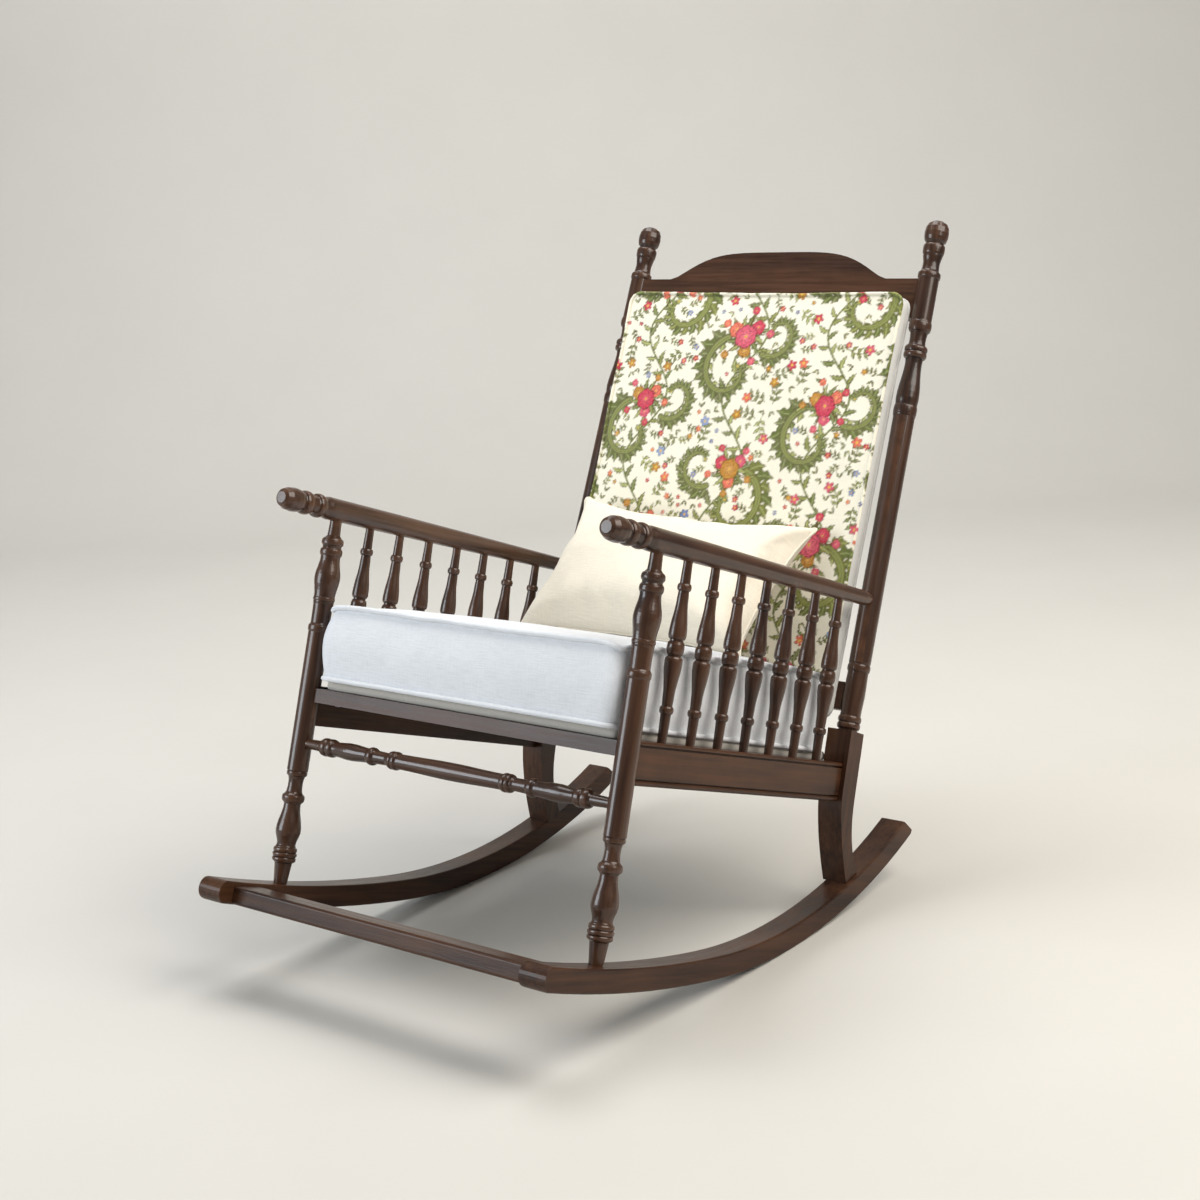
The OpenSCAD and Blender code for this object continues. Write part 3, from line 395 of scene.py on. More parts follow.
def rounded_plan(s, t, half, corner, draw):
    """Plan of a cushion for s and t from -1 to 1: rounded corners, and sides drawn in between."""
    q = np.maximum(np.abs(s), np.abs(t))
    r = corner * q
    ax, ay = np.abs(s) * half[0], np.abs(t) * half[1]
    dx, dy = ax - (half[0] * q - r), ay - (half[1] * q - r)
    in_corner = (dx > 0) & (dy > 0) & (q > 0)
    big, small = np.maximum(dx, dy), np.minimum(dx, dy)
    share = np.where(big > 0, small / np.where(big > 0, big, 1), 0)
    angle = np.where(dx >= dy, share * math.pi / 4, math.pi / 2 - share * math.pi / 4)
    x = np.where(in_corner, half[0] * q - r + big * np.cos(angle), ax)
    y = np.where(in_corner, half[1] * q - r + big * np.sin(angle), ay)
    x = x - draw * np.abs(s) ** 5 * (1 - t * t)
    y = y - draw * np.abs(t) ** 5 * (1 - s * s)
    return np.sign(s) * x, np.sign(t) * y


class CushionBlock:
    """A closed block of cells: a top, a bottom and a boxing, with each point's share s, t and w."""

    def __init__(self, half, cell, layers):
        nx, ny, nz = whole(2 * half[0], cell), whole(2 * half[1], cell), layers
        self.counts = (nx, ny, nz)
        keys = [(i, j, k) for k in range(nz + 1) for j in range(ny + 1) for i in range(nx + 1)
                if i in (0, nx) or j in (0, ny) or k in (0, nz)]
        self.index = {key: n for n, key in enumerate(keys)}
        cells = np.array(keys)
        self.s = 2 * cells[:, 0] / nx - 1
        self.t = 2 * cells[:, 1] / ny - 1
        self.w = cells[:, 2] / nz
        self.reach = np.maximum(np.abs(self.s), np.abs(self.t))
        self.rim = self.reach >= 1
        self.top = self.w >= 1
        across, along, up = (1, 0, 0), (0, 1, 0), (0, 0, 1)
        self.top_faces = [self.quad((i, j, nz), across, along) for j in range(ny) for i in range(nx)]
        self.faces = (
            self.top_faces
            + [self.quad((i, j, 0), along, across) for j in range(ny) for i in range(nx)]
            + [self.quad((i, 0, k), across, up) for k in range(nz) for i in range(nx)]
            + [self.quad((i, ny, k), up, across) for k in range(nz) for i in range(nx)]
            + [self.quad((0, j, k), up, along) for k in range(nz) for j in range(ny)]
            + [self.quad((nx, j, k), along, up) for k in range(nz) for j in range(ny)])

    def quad(self, at, first, second):
        a = np.array(at)
        corners = (a, a + first, a + np.add(first, second), a + second)
        return tuple(self.index[tuple(c)] for c in corners)

    def ring(self, k):
        """The vertices round the block at level k, in order, anticlockwise from above."""
        nx, ny, _ = self.counts
        path = ([(i, 0) for i in range(nx)] + [(nx, j) for j in range(ny)]
                + [(i, ny) for i in range(nx, 0, -1)] + [(0, j) for j in range(ny, 0, -1)])
        return [self.index[(i, j, k)] for i, j in path]


def new_mesh_object(name, points, faces, edges=()):
    mesh = bpy.data.meshes.new(name)
    mesh.from_pydata([tuple(p) for p in points], edges, faces)
    made = bpy.data.objects.new(name, mesh)
    bpy.context.scene.collection.objects.link(made)
    return made


def swollen(points, faces, seams, limits, sizes):
    """Where stuffing pushes the cloth while its seams hold. Limits cap each point's way."""
    scene = bpy.context.scene
    work = new_mesh_object("stuffing_work", points, faces)
    if len(seams):
        work.vertex_groups.new(name="seams").add([int(v) for v in seams], 1.0, "REPLACE")
    cloth = work.modifiers.new("Stuffing", "CLOTH")
    rules = cloth.settings
    rules.quality = 6
    rules.mass = 0.25
    rules.tension_stiffness = 14
    rules.compression_stiffness = 14
    rules.shear_stiffness = 6
    rules.bending_stiffness = 0.4
    rules.use_pressure = True
    rules.uniform_pressure_force = sizes.stuffing
    rules.effector_weights.gravity = 0
    if len(seams):
        rules.vertex_group_mass = "seams"
    cloth.collision_settings.use_collision = False
    cloth.point_cache.frame_start = 1
    cloth.point_cache.frame_end = sizes.settle_frames
    for step in range(1, sizes.settle_frames + 1):
        scene.frame_set(step)
    settled = work.evaluated_get(bpy.context.evaluated_depsgraph_get())
    moved = mesh_points(settled.data) - points
    scene.frame_set(1)
    bpy.data.objects.remove(work)
    far = np.linalg.norm(moved, axis=1)
    hold = np.where(far > 0, limits * np.tanh(far / limits) / np.where(far > 0, far, 1), 0)
    return points + moved * hold[:, None]


def ripple(points, seed, length, depth):
    """Smooth waves in one direction after another: a height for each point."""
    random = np.random.default_rng(seed)
    total = np.zeros(len(points))
    for _ in range(7):
        way = random.normal(size=3)
        way /= np.linalg.norm(way)
        wave = length * random.uniform(0.6, 1.7)
        total += np.sin(points @ way * math.tau / wave + random.uniform(0, math.tau))
    return total * depth / 3


def outward(points, faces):
    """Unit normals of the points of a quad mesh."""
    f = np.array(faces)
    cross = np.cross(points[f[:, 2]] - points[f[:, 0]], points[f[:, 3]] - points[f[:, 1]])
    normal = np.zeros_like(points)
    for corner in range(4):
        np.add.at(normal, f[:, corner], cross)
    return normal / np.maximum(np.linalg.norm(normal, axis=1), 1e-12)[:, None]


def pushed_out(points, faces, heights):
    """Points moved along their normals."""
    return points + outward(points, faces) * heights[:, None]


def shade_smooth(mesh):
    for polygon in mesh.polygons:
        polygon.use_smooth = True


def keep_evaluated(made):
    """Gives an object its evaluated mesh, without the modifiers that made it."""
    old = made.data
    evaluated = made.evaluated_get(bpy.context.evaluated_depsgraph_get())
    made.data = bpy.data.meshes.new_from_object(evaluated)
    made.modifiers.clear()
    bpy.data.meshes.remove(old)
    made.data.name = made.name


def smooth_divided(made, sharp_pairs):
    """Divides an object's cells once, with these edges creased."""
    if sharp_pairs:
        wanted = {tuple(sorted(pair)) for pair in sharp_pairs}
        crease = made.data.attributes.new("crease_edge", "FLOAT", "EDGE")
        values = [1.0 if tuple(sorted(e.vertices)) in wanted else 0.0 for e in made.data.edges]
        crease.data.foreach_set("value", values)
    modifier = made.modifiers.new("Smooth", "SUBSURF")
    modifier.levels = 1
    modifier.render_levels = 1
    modifier.uv_smooth = "PRESERVE_BOUNDARIES"
    keep_evaluated(made)
    shade_smooth(made.data)


def ring_pairs(ring):
    return [(ring[i], ring[(i + 1) % len(ring)]) for i in range(len(ring))]


def give_flat_uv(mesh, flat):
    """A UV map in metres, from one flat place for each point."""
    layer = mesh.uv_layers.new(name="cloth")
    loops = np.empty(len(mesh.loops), np.int64)
    mesh.loops.foreach_get("vertex_index", loops)
    layer.data.foreach_set("uv", flat[loops].astype(np.float32).ravel())


def unfolded(block, points, thick):
    """Flat places in metres: the faces lie in plan, and the boxing folds out from them."""
    drop = (1 - block.w) * thick
    push_x = np.where(np.abs(block.s) >= 1, np.sign(block.s) * drop, 0)
    push_y = np.where(np.abs(block.t) >= 1, np.sign(block.t) * drop, 0)
    return np.column_stack([points[:, 0] + push_x, points[:, 1] + push_y])


def sewn_cover(name, block, points, middle, turn, flat, seams=(), lined=False):
    """A smooth cover on a block's points, whose places and normals at rest come back with it.

    If it is lined, all but its top takes the second material.
    """
    place = turned(points + middle, turn)
    made = new_mesh_object(name, place, block.faces)
    give_flat_uv(made.data, flat)
    if lined:
        for polygon in made.data.polygons[len(block.top_faces):]:
            polygon.material_index = 1
    smooth_divided(made, [pair for ring in seams for pair in ring_pairs(ring)])
    return made, place, turned(outward(points, block.faces), turn)


# Welts

def welt_tree():
    """Geometry nodes: a corded welt along an edge loop, with the folds of its bias strip."""
    tree, given, out = new_group(
        "Corded Welt", "GeometryNodeTree",
        [("Geometry", "Geometry", None), ("Cord Radius", "Float", 3 * MM),
         ("Cord Step", "Float", 4 * MM), ("Fold Depth", "Float", 0.06), ("Cloth", "Material", None)],
        [("Geometry", "Geometry")])
    line = add_node(tree, "GeometryNodeMeshToCurve", {"Mesh": given["Geometry"]}).outputs["Curve"]
    line = add_node(tree, "GeometryNodeResampleCurve", {"Curve": line, "Length": given["Cord Step"]},
                    mode="LENGTH").outputs["Curve"]
    place = add_node(tree, "GeometryNodeInputPosition").outputs[0]
    folds = map_range(tree, noise(tree, place, 130.0, 1.0), 0.3, 0.7, -1.0, 1.0)
    swell = total(tree, product(tree, folds, given["Fold Depth"]), 1.0)
    radius = product(tree, swell, given["Cord Radius"])
    ring = add_node(tree, "GeometryNodeCurvePrimitiveCircle", {"Resolution": 8, "Radius": 1.0})
    tube = add_node(tree, "GeometryNodeCurveToMesh",
                    {"Curve": line, "Profile Curve": ring.outputs["Curve"]})
    if "Scale" in tube.inputs:
        tree.links.new(radius, tube.inputs["Scale"])
    else:
        sized = add_node(tree, "GeometryNodeSetCurveRadius", {"Curve": line, "Radius": radius})
        tree.links.new(sized.outputs[0], tube.inputs["Curve"])
    smooth = add_node(tree, "GeometryNodeSetShadeSmooth", {"Geometry": tube.outputs["Mesh"]})
    real = add_node(tree, "GeometryNodeRealizeInstances", {"Geometry": smooth.outputs[0]})
    dressed = add_node(tree, "GeometryNodeSetMaterial",
                       {"Geometry": real.outputs[0], "Material": given["Cloth"]})
    feed(tree, out, {"Geometry": dressed.outputs[0]})
    return tree


def make_welt(name, place, normals, ring, lift, radius, material, body):
    """A welt along a ring of a cover's points, lifted off it by a share of the cord's radius."""
    tree = shared_group("Corded Welt", welt_tree)
    path = place[ring] + normals[ring] * lift * radius
    made = new_mesh_object(name, path, [], ring_pairs(range(len(path))))
    modifier = made.modifiers.new("Cord", "NODES")
    modifier.node_group = tree
    sockets = {item.name: item.identifier for item in tree.interface.items_tree
               if item.item_type == "SOCKET" and item.in_out == "INPUT"}
    for label, value in (("Cord Radius", radius), ("Cord Step", 1.1 * radius), ("Cloth", material)):
        modifier[sockets[label]] = value
    keep_evaluated(made)
    if not made.data.materials:
        made.data.materials.append(material)
    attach(made, body)
    return made


def finish_cushion(made, materials, body, node):
    for material in materials:
        made.data.materials.append(material)
    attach(made, body)
    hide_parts(node)


def whole(length, cell, least=2):
    return max(least, round(length / cell))


def crown(s, t, bend=2.6):
    return (1 - np.abs(s) ** bend) * (1 - np.abs(t) ** bend)


# Operators

class ROCKER_OT_dress_wood(bpy.types.Operator):
    """Stain every wooden piece, with the grain along its length"""

    bl_idname = "rocker.dress_wood"
    bl_label = "Stain the Wood"

    def execute(self, context):
        finishes = context.scene.chair_finishes
        turns = {"upright": (SEAT_TURN, "Z"), "back": (SEAT_TURN - BACK_RECLINE, "Z"),
                 "deep": (SEAT_TURN, "Y"), "across": (SEAT_TURN, "X")}
        woods = {}
        for way, (turn, along) in turns.items():
            # The first number is the share of scuffed edge tone, which also paints a highlight on the rings
            for label, rubbed_and_lit, coat in (("Turned", 0.75, 0.45), ("Sawn", 0.06, 0.10)):
                name = f"{label} Wood {way.title()}"
                woods[way, label] = stained_wood(name, turn, along, finishes, rubbed_and_lit, coat)
        for name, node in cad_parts.items():
            if name not in NOT_WOOD:
                way = next((way for way, starts in GRAIN_WAYS if name.startswith(starts)), "upright")
                dress(node, woods[way, "Turned" if name.startswith(TURNED) else "Sawn"])
        return {"FINISHED"}


class ROCKER_OT_dress_screws(bpy.types.Operator):
    """Give the deck's screws their plated steel"""

    bl_idname = "rocker.dress_screws"
    bl_label = "Plate the Screws"

    def execute(self, context):
        dress(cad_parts["deck_screws"], plated_steel())
        return {"FINISHED"}


class ROCKER_OT_make_deck(bpy.types.Operator):
    """Cover the seat deck with linen greyed to beige by painted shade"""

    bl_idname = "rocker.make_deck"
    bl_label = "Cover the Seat Deck"

    def execute(self, context):
        finishes, sizes = context.scene.chair_finishes, context.scene.cushion_sizes
        lo, hi = own_box("seat_deck", SEAT_TURN)
        size, middle = hi - lo, (lo + hi) / 2
        pulled_in, slack = 1.6 * MM, 1 * MM
        block = CushionBlock(size[:2] / 2, sizes.deck_cell, 4)
        x, y = rounded_plan(block.s, block.t, size[:2] / 2, 5 * MM, 0.0)
        shrink = 1 - pulled_in / (size[0] / 2) * (1 - np.sin(math.pi * block.w)) * block.rim
        points = np.column_stack([x * shrink, y * shrink, (block.w - 0.5) * (size[2] - slack)])
        points = pushed_out(points, block.faces, ripple(points, 5, 70 * MM, 0.25 * MM))
        made, _, _ = sewn_cover("deck_cover", block, points, middle, SEAT_TURN,
                                unfolded(block, points, size[2]))
        # Painted shade: the deck's linen colour is greyed for the shade under the cushion
        cloth = woven_material("Deck Cloth Shaded", finishes.deck_linen_shaded, "UV", 700.0, 0.5)
        finish_cushion(made, [cloth], BODY_CHAIR, "seat_deck")
        return {"FINISHED"}


class ROCKER_OT_make_seat_cushion(bpy.types.Operator):
    """Sew and stuff the boxed seat cushion, with a welt round its top and its bottom"""

    bl_idname = "rocker.make_seat_cushion"
    bl_label = "Make the Seat Cushion"

    def puckers(self, block, points):
        """Small gathers that run out from the welts across the boxing and the top."""
        below, above = block.w * SEAT_THICK, (1 - block.w) * SEAT_THICK
        boxing = block.rim * np.exp(-np.minimum(below, above) / GATHER_REACH)
        top = block.top * np.exp(-(1 - block.reach) * SEAT_HALF / GATHER_REACH)
        seam = (block.w <= 0) | (block.top & block.rim)
        around = np.where(np.abs(block.s) > np.abs(block.t), points[:, 1], points[:, 0])
        random = np.random.default_rng(14)
        waves = sum(np.sin(around * math.tau / (k * MM) + random.uniform(0, math.tau))
                    for k in (23, 31, 47, 68))
        dent = block.rim * np.exp(-np.minimum(below, above) / DENT_REACH)
        return np.where(seam, 0, 0.26 * MM * waves * np.maximum(boxing, top) - 1.2 * MM * dent)

    def execute(self, context):
        finishes, sizes = context.scene.chair_finishes, context.scene.cushion_sizes
        lo, hi = own_box("seat_cushion", SEAT_TURN)
        middle = np.array([(lo[0] + hi[0]) / 2, (lo[1] + hi[1]) / 2, lo[2]])
        half = (hi - lo)[:2] / 2 - 2.2 * MM
        rise, top_crown, side_dip, corner_drop = 8 * MM, 11 * MM, 4.5 * MM, 9 * MM
        block = CushionBlock(half, sizes.seat_cell, whole(SEAT_THICK, sizes.seat_cell))
        x, y = rounded_plan(block.s, block.t, half, 24 * MM, 4 * MM)
        rounded = top_crown * crown(block.s, block.t)
        z = block.w * SEAT_THICK + np.where(block.top, 0.45 * rounded, 0)
        z = z * (1 + rise / SEAT_THICK * (block.t + 1) / 2)
        along = np.where(np.abs(block.s) >= 1, block.t, block.s)
        upper = np.clip(2 * block.w - 1, 0, 1)
        z -= np.where(block.rim, side_dip * (1 - along ** 2) * upper, 0)
        z -= corner_drop * np.abs(block.s * block.t) ** 9 * upper
        bulge = np.where(block.rim, np.sin(math.pi * block.w), 0)
        ahead = np.clip(-4 - 5 * block.t, 0, 1)
        x = x + np.sign(block.s) * (4 + 4 * ahead) * MM * bulge * np.abs(block.s) ** 8
        y = y + np.sign(block.t) * 7.0 * MM * bulge * np.abs(block.t) ** 8
        points = np.column_stack([x, y, z + 1.5 * MM])
        points[:, 2] += np.where(block.rim, ripple(points, 13, 130 * MM, 0.9 * MM) * block.w, 0)
        top, bottom = block.ring(block.counts[2]), block.ring(0)
        limits = np.where(block.top, 10 * MM, np.where(block.rim, 4.5 * MM, 1.2 * MM))
        points = swollen(points, block.faces, top + bottom, limits, sizes)
        points[:, 2] += ripple(points, 11, 150 * MM, 0.9 * MM) * block.w
        points = pushed_out(points, block.faces, ripple(points, 12, 60 * MM, 0.35 * MM) * (block.w > 0))
        points = pushed_out(points, block.faces, self.puckers(block, points))
        made, place, normals = sewn_cover("seat_cushion_cover", block, points, middle, SEAT_TURN,
                                          unfolded(block, points, SEAT_THICK), (top, bottom))
        cloth = woven_material("White Linen", finishes.linen_white, "UV", 650.0, 0.8, bump_strength=0.5)
        cord_cloth = woven_material("White Linen Cord", finishes.linen_white, "Object", 900.0, 0.4)
        finish_cushion(made, [cloth], BODY_SEAT, "seat_cushion")
        for label, ring, lift in (("top", top, 0.75), ("bottom", bottom, 0.55)):
            make_welt(f"seat_welt_{label}", place, normals, ring, lift, sizes.seat_welt,
                      cord_cloth, BODY_SEAT)
        return {"FINISHED"}


# The printed cloth of the back pad

def linear(red, green, blue):
    """Scene colour of a display colour given in 256 steps."""
    values = np.array([red, green, blue]) / 255
    return np.where(values <= 0.04045, values / 12.92, ((values + 0.055) / 1.055) ** 2.4)


def pick(mask, colour, other):
    return np.where(mask[..., None], colour, other)


class PrintedCloth:
    """A canvas in metres on which flowers, leaves and stems are painted one over another."""

    GROUND = linear(238, 233, 214)
    OUTLINE = linear(82, 78, 40)
    GREENS = (linear(124, 128, 66), linear(108, 116, 60), linear(146, 150, 88), linear(116, 120, 74))
    ROSES = (linear(198, 62, 84), linear(220, 112, 88), linear(186, 132, 52), linear(208, 88, 108))
    BLUES = (linear(112, 130, 180), linear(142, 158, 196))
    BROWN = linear(98, 64, 36)

    def __init__(self, width, height, step):
        self.step = step
        self.half = width / 2
        self.nx, self.ny = int(width / step) + 2, int(height / step) + 2
        self.paint = np.empty((self.ny, self.nx, 3))
        self.paint[:] = self.GROUND
        self.blank = np.ones((self.ny, self.nx), bool)

    def window(self, x, y, reach):
        """Slices of the canvas round a point, and each cell's way from that point."""
        i0 = max(0, int((x - reach + self.half) / self.step))
        i1 = min(self.nx, int((x + reach + self.half) / self.step) + 2)
        j0 = max(0, int((y - reach) / self.step))
        j1 = min(self.ny, int((y + reach) / self.step) + 2)
        if i0 >= i1 or j0 >= j1:
            return None
        gx, gy = np.meshgrid(np.arange(i0, i1) * self.step - self.half - x,
                             np.arange(j0, j1) * self.step - y)
        return (slice(j0, j1), slice(i0, i1)), gx, gy

    def put(self, where, mask, colour):
        part = self.paint[where]
        part[mask] = colour if np.ndim(colour) == 1 else colour[mask]
        self.blank[where][mask] = False

    def is_blank(self, x, y, reach):
        found = self.window(x, y, reach)
        return found is not None and self.blank[found[0]].all()

    def leaf(self, x, y, length, width, angle, green, notches=0):
        found = self.window(x, y, length)
        if found is None:
            return
        where, gx, gy = found
        a = gx * math.cos(angle) + gy * math.sin(angle)
        b = -gx * math.sin(angle) + gy * math.cos(angle)
        b = b - 0.10 * length * np.sin(math.pi * np.clip(a / length, 0, 1))
        share = np.clip(a / length, 0, 1)
        edge = width / 2 * np.sin(math.pi * share ** 0.75)
        if notches:
            edge = edge * (0.80 + 0.20 * np.cos(math.tau * notches * share))
        inside = (a > 0) & (a < length) & (np.abs(b) < edge)
        vein = np.abs(np.sin((a - np.abs(b) * 0.9) * math.tau / (length / 5)))
        tone = pick(vein > 0.86, green * 0.62, green)
        tone = pick(np.abs(b) < 0.9 * MM, green * 1.5 + 0.05, tone)
        tone = pick(np.abs(b) > edge - 1.0 * MM, self.OUTLINE, tone)
        self.put(where, inside, tone)

    def stem(self, points, width, colour):
        for (x0, y0), (x1, y1) in zip(points[:-1], points[1:]):
            reach = math.hypot(x1 - x0, y1 - y0) / 2 + width
            found = self.window((x0 + x1) / 2, (y0 + y1) / 2, reach)
            if found is None:
                continue
            where, gx, gy = found
            way = np.array([x1 - x0, y1 - y0])
            size = max(np.hypot(*way), 1e-9)
            along = np.clip((gx * way[0] + gy * way[1]) / size, -size / 2, size / 2)
            off = np.hypot(gx - along * way[0] / size, gy - along * way[1] / size)
            self.put(where, off < width / 2, colour)

    def rose(self, x, y, radius, petals, colour, turn):
        found = self.window(x, y, radius * 1.1)
        if found is None:
            return
        where, gx, gy = found
        far, angle = np.hypot(gx, gy), np.arctan2(gy, gx) + turn
        rim = radius * (0.84 + 0.16 * np.abs(np.cos(petals / 2 * angle)))
        share = far / rim
        fold = share * 3.4 + 0.32 * np.cos(petals * angle + 2.2 * share * math.pi)
        tone = colour * (0.72 + 0.55 * (fold % 1.0))[..., None]
        tone = tone + (0.22 * np.clip(0.9 - share, 0, 1) ** 2)[..., None] * np.array([1, 0.75, 0.6])
        tone = pick((fold % 1.0) < 0.16, colour * 0.38, tone)
        tone = pick(share > 0.93, colour * 0.34, tone)
        tone = pick(share < 0.13, linear(212, 170, 70), tone)
        self.put(where, share < 1, np.clip(tone, 0, 0.9))

    def blossom(self, x, y, radius, petals, colour, turn):
        found = self.window(x, y, radius * 1.1)
        if found is None:
            return
        where, gx, gy = found
        far, angle = np.hypot(gx, gy), np.arctan2(gy, gx) + turn
        rim = radius * (0.45 + 0.55 * np.abs(np.cos(petals / 2 * angle)) ** 0.7)
        tone = pick(far > rim - 1.1 * MM, colour * 0.45, colour)
        tone = pick(far < 0.26 * radius, linear(222, 182, 84), tone)
        self.put(where, far < rim, tone)

    def sample(self, x, y):
        """Colours at points, mixed from the four cells round each."""
        fx = np.clip((x + self.half) / self.step, 0, self.nx - 1.001)
        fy = np.clip(y / self.step, 0, self.ny - 1.001)
        i, j = fx.astype(int), fy.astype(int)
        u, v = (fx - i)[:, None], (fy - j)[:, None]
        p = self.paint
        return ((1 - v) * ((1 - u) * p[j, i] + u * p[j, i + 1])
                + v * ((1 - u) * p[j + 1, i] + u * p[j + 1, i + 1]))


def paint_scroll(cloth, x, y, radius, start, sweep, width, shades):
    """A leafy scroll that winds in on itself: broad lobes outside, small ones inside."""
    turns = np.linspace(0, 1, 34)
    way = 1 if sweep > 0 else -1
    path = []
    for t in turns:
        angle, r = start + sweep * t, radius * (1 - 0.74 * t ** 1.15)
        path.append((x + r * math.cos(angle), y + r * math.sin(angle), angle, width * (1 - 0.66 * t)))
    for n, (px, py, angle, w) in enumerate(path[:-2:2]):
        reach = w * (1.35 + 0.2 * math.sin(2.3 * n))
        cloth.leaf(px, py, reach, 0.95 * w, angle + way * 0.95, shades[n % 2], 3)
    for n, (px, py, angle, w) in enumerate(path[1:-4:3]):
        cloth.leaf(px, py, 0.9 * w, 0.55 * w, angle + math.pi - way * 0.6, shades[2 - n % 2], 2)
    for share, colour in ((0.56, cloth.OUTLINE), (0.46, shades[0]), (0.24, shades[2]), (0.08, shades[1])):
        for (x0, y0, _, w0), (x1, y1, _, w1) in zip(path[:-1], path[1:]):
            cloth.stem([(x0, y0), (x1, y1)], share * (w0 + w1) / 2, colour)
    cx, cy, _, w = path[-1]
    cloth.blossom(cx, cy, 0.75 * w, 6, shades[2], start)


def paint_bunch(cloth, x, y, size, count, random):
    """Roses with their leaves and buds."""
    for k in range(12):
        angle = math.tau * k / 12 + 0.4 * count
        cloth.leaf(x, y, size * random.uniform(1.7, 2.3), 0.7 * size, angle,
                   cloth.GREENS[(k + count) % 4], 5)
    for k in range(5):
        angle = 0.9 + 1.26 * k + 0.5 * count
        bx, by = x + 2.15 * size * math.cos(angle), y + 2.15 * size * math.sin(angle)
        cloth.stem([(x, y), (bx, by)], 2 * MM, cloth.BROWN)
        cloth.leaf(bx, by, 0.9 * size, 0.4 * size, angle + 0.8, cloth.GREENS[k % 4], 3)
        cloth.rose(bx, by, 0.36 * size, 4, cloth.ROSES[(count + k) % 4], count + k)
    for k, (dx, dy, part) in enumerate(((0.95, 0.75, 0.62), (-0.95, 0.55, 0.66), (0.15, -1.15, 0.58))):
        bx, by = x + dx * size, y + dy * size
        cloth.rose(bx, by, part * size, 5, cloth.ROSES[(count + k + 1) % 4], k + count)
    cloth.rose(x, y, size, 6, cloth.ROSES[count % 4], 0.7 * count)


def paint_sprig(cloth, x, y, length, angle, colour, green):
    """A small blossom on a bent stem with pairs of leaves."""
    path = [(x + length * (t - 0.5) * math.cos(angle + 0.7 * t),
             y + length * (t - 0.5) * math.sin(angle + 0.7 * t)) for t in np.linspace(0, 1, 8)]
    cloth.stem(path, 1.7 * MM, green)
    for n in (1, 3, 5):
        px, py = path[n]
        for side in (-1, 1):
            cloth.leaf(px, py, 0.36 * length, 0.19 * length, angle + 0.5 * n / 7 + side * 0.95, green, 2)
    cloth.blossom(*path[-1], 0.24 * length, 5, colour, 3 * angle)


def paint_fill(cloth, width, height, random):
    """Sprigs, then buds and leaves, wherever the ground is still bare."""
    colours = cloth.ROSES + cloth.BLUES[:1] + cloth.ROSES + cloth.BLUES[1:]
    for room, size, tries in ((15 * MM, 38 * MM, 2600), (9.5 * MM, 24 * MM, 4200), (6 * MM, 14 * MM, 5200)):
        for n in range(tries):
            x, y = random.uniform(-width / 2, width / 2), random.uniform(0, height)
            if not cloth.is_blank(x, y, room):
                continue
            angle, green = random.uniform(0, math.tau), cloth.GREENS[n % 4]
            if size > 20 * MM:
                paint_sprig(cloth, x, y, size, angle, colours[n % len(colours)], green)
            elif n % 3:
                for side in (-0.6, 0.6):
                    cloth.leaf(x, y, 0.8 * size, 0.34 * size, angle + side, green, 2)
            else:
                cloth.blossom(x, y, 0.3 * size, 5, colours[n % len(colours)], angle)


def paint_garden(cloth, width, height):
    """Columns of scrolls and roses on vines, each column half a wave above the last."""
    random = np.random.default_rng(41)
    columns, wave, sway = 3, 0.218, 0.030
    pitch = width / columns
    rows = range(-1, int(height / wave) + 2)
    olive = (cloth.GREENS[0], cloth.GREENS[1], cloth.GREENS[2])
    moss = (cloth.GREENS[3], cloth.GREENS[1], cloth.GREENS[2])
    places = [(column, (column - (columns - 1) / 2) * pitch, (column % 2) * wave / 2)
              for column in range(-1, columns + 1)]
    for _, middle, lead in places:
        below, above, step = 0.02, 0.03, 4 * MM
        steps = np.arange(-below, height + above, step)
        vine = [(middle + sway * math.sin(math.tau * (y + lead) / wave), y) for y in steps]
        cloth.stem(vine, 3.2 * MM, cloth.GREENS[1])
        for n in range(2, len(vine) - 2, 3):
            px, py = vine[n]
            side = 1 if n % 2 else -1
            up = math.atan2(vine[n + 1][1] - py, vine[n + 1][0] - px)
            reach = random.uniform(20, 30) * MM
            cloth.leaf(px, py, reach, 0.45 * reach, up + side * random.uniform(0.7, 1.1),
                       cloth.GREENS[random.integers(4)], 4)
    for column, middle, lead in places:
        for row in rows:
            y = row * wave - lead + 0.012
            hand = 1 if (row + column) % 2 else -1
            shades = olive if (row + column) % 2 else moss
            paint_scroll(cloth, middle + hand * 0.026, y - 0.022, 0.056, math.pi / 2 - hand * 0.3,
                         -hand * 4.9, 27 * MM, shades)
            paint_scroll(cloth, middle - hand * 0.046, y + 0.040, 0.040, -math.pi / 2 + hand * 0.5,
                         -hand * 4.4, 20 * MM, moss)
            paint_bunch(cloth, middle + hand * 0.010, y + 0.034, (21 if row % 2 else 18.5) * MM,
                        row + 2 * column + 6, random)
    paint_fill(cloth, width, height, random)


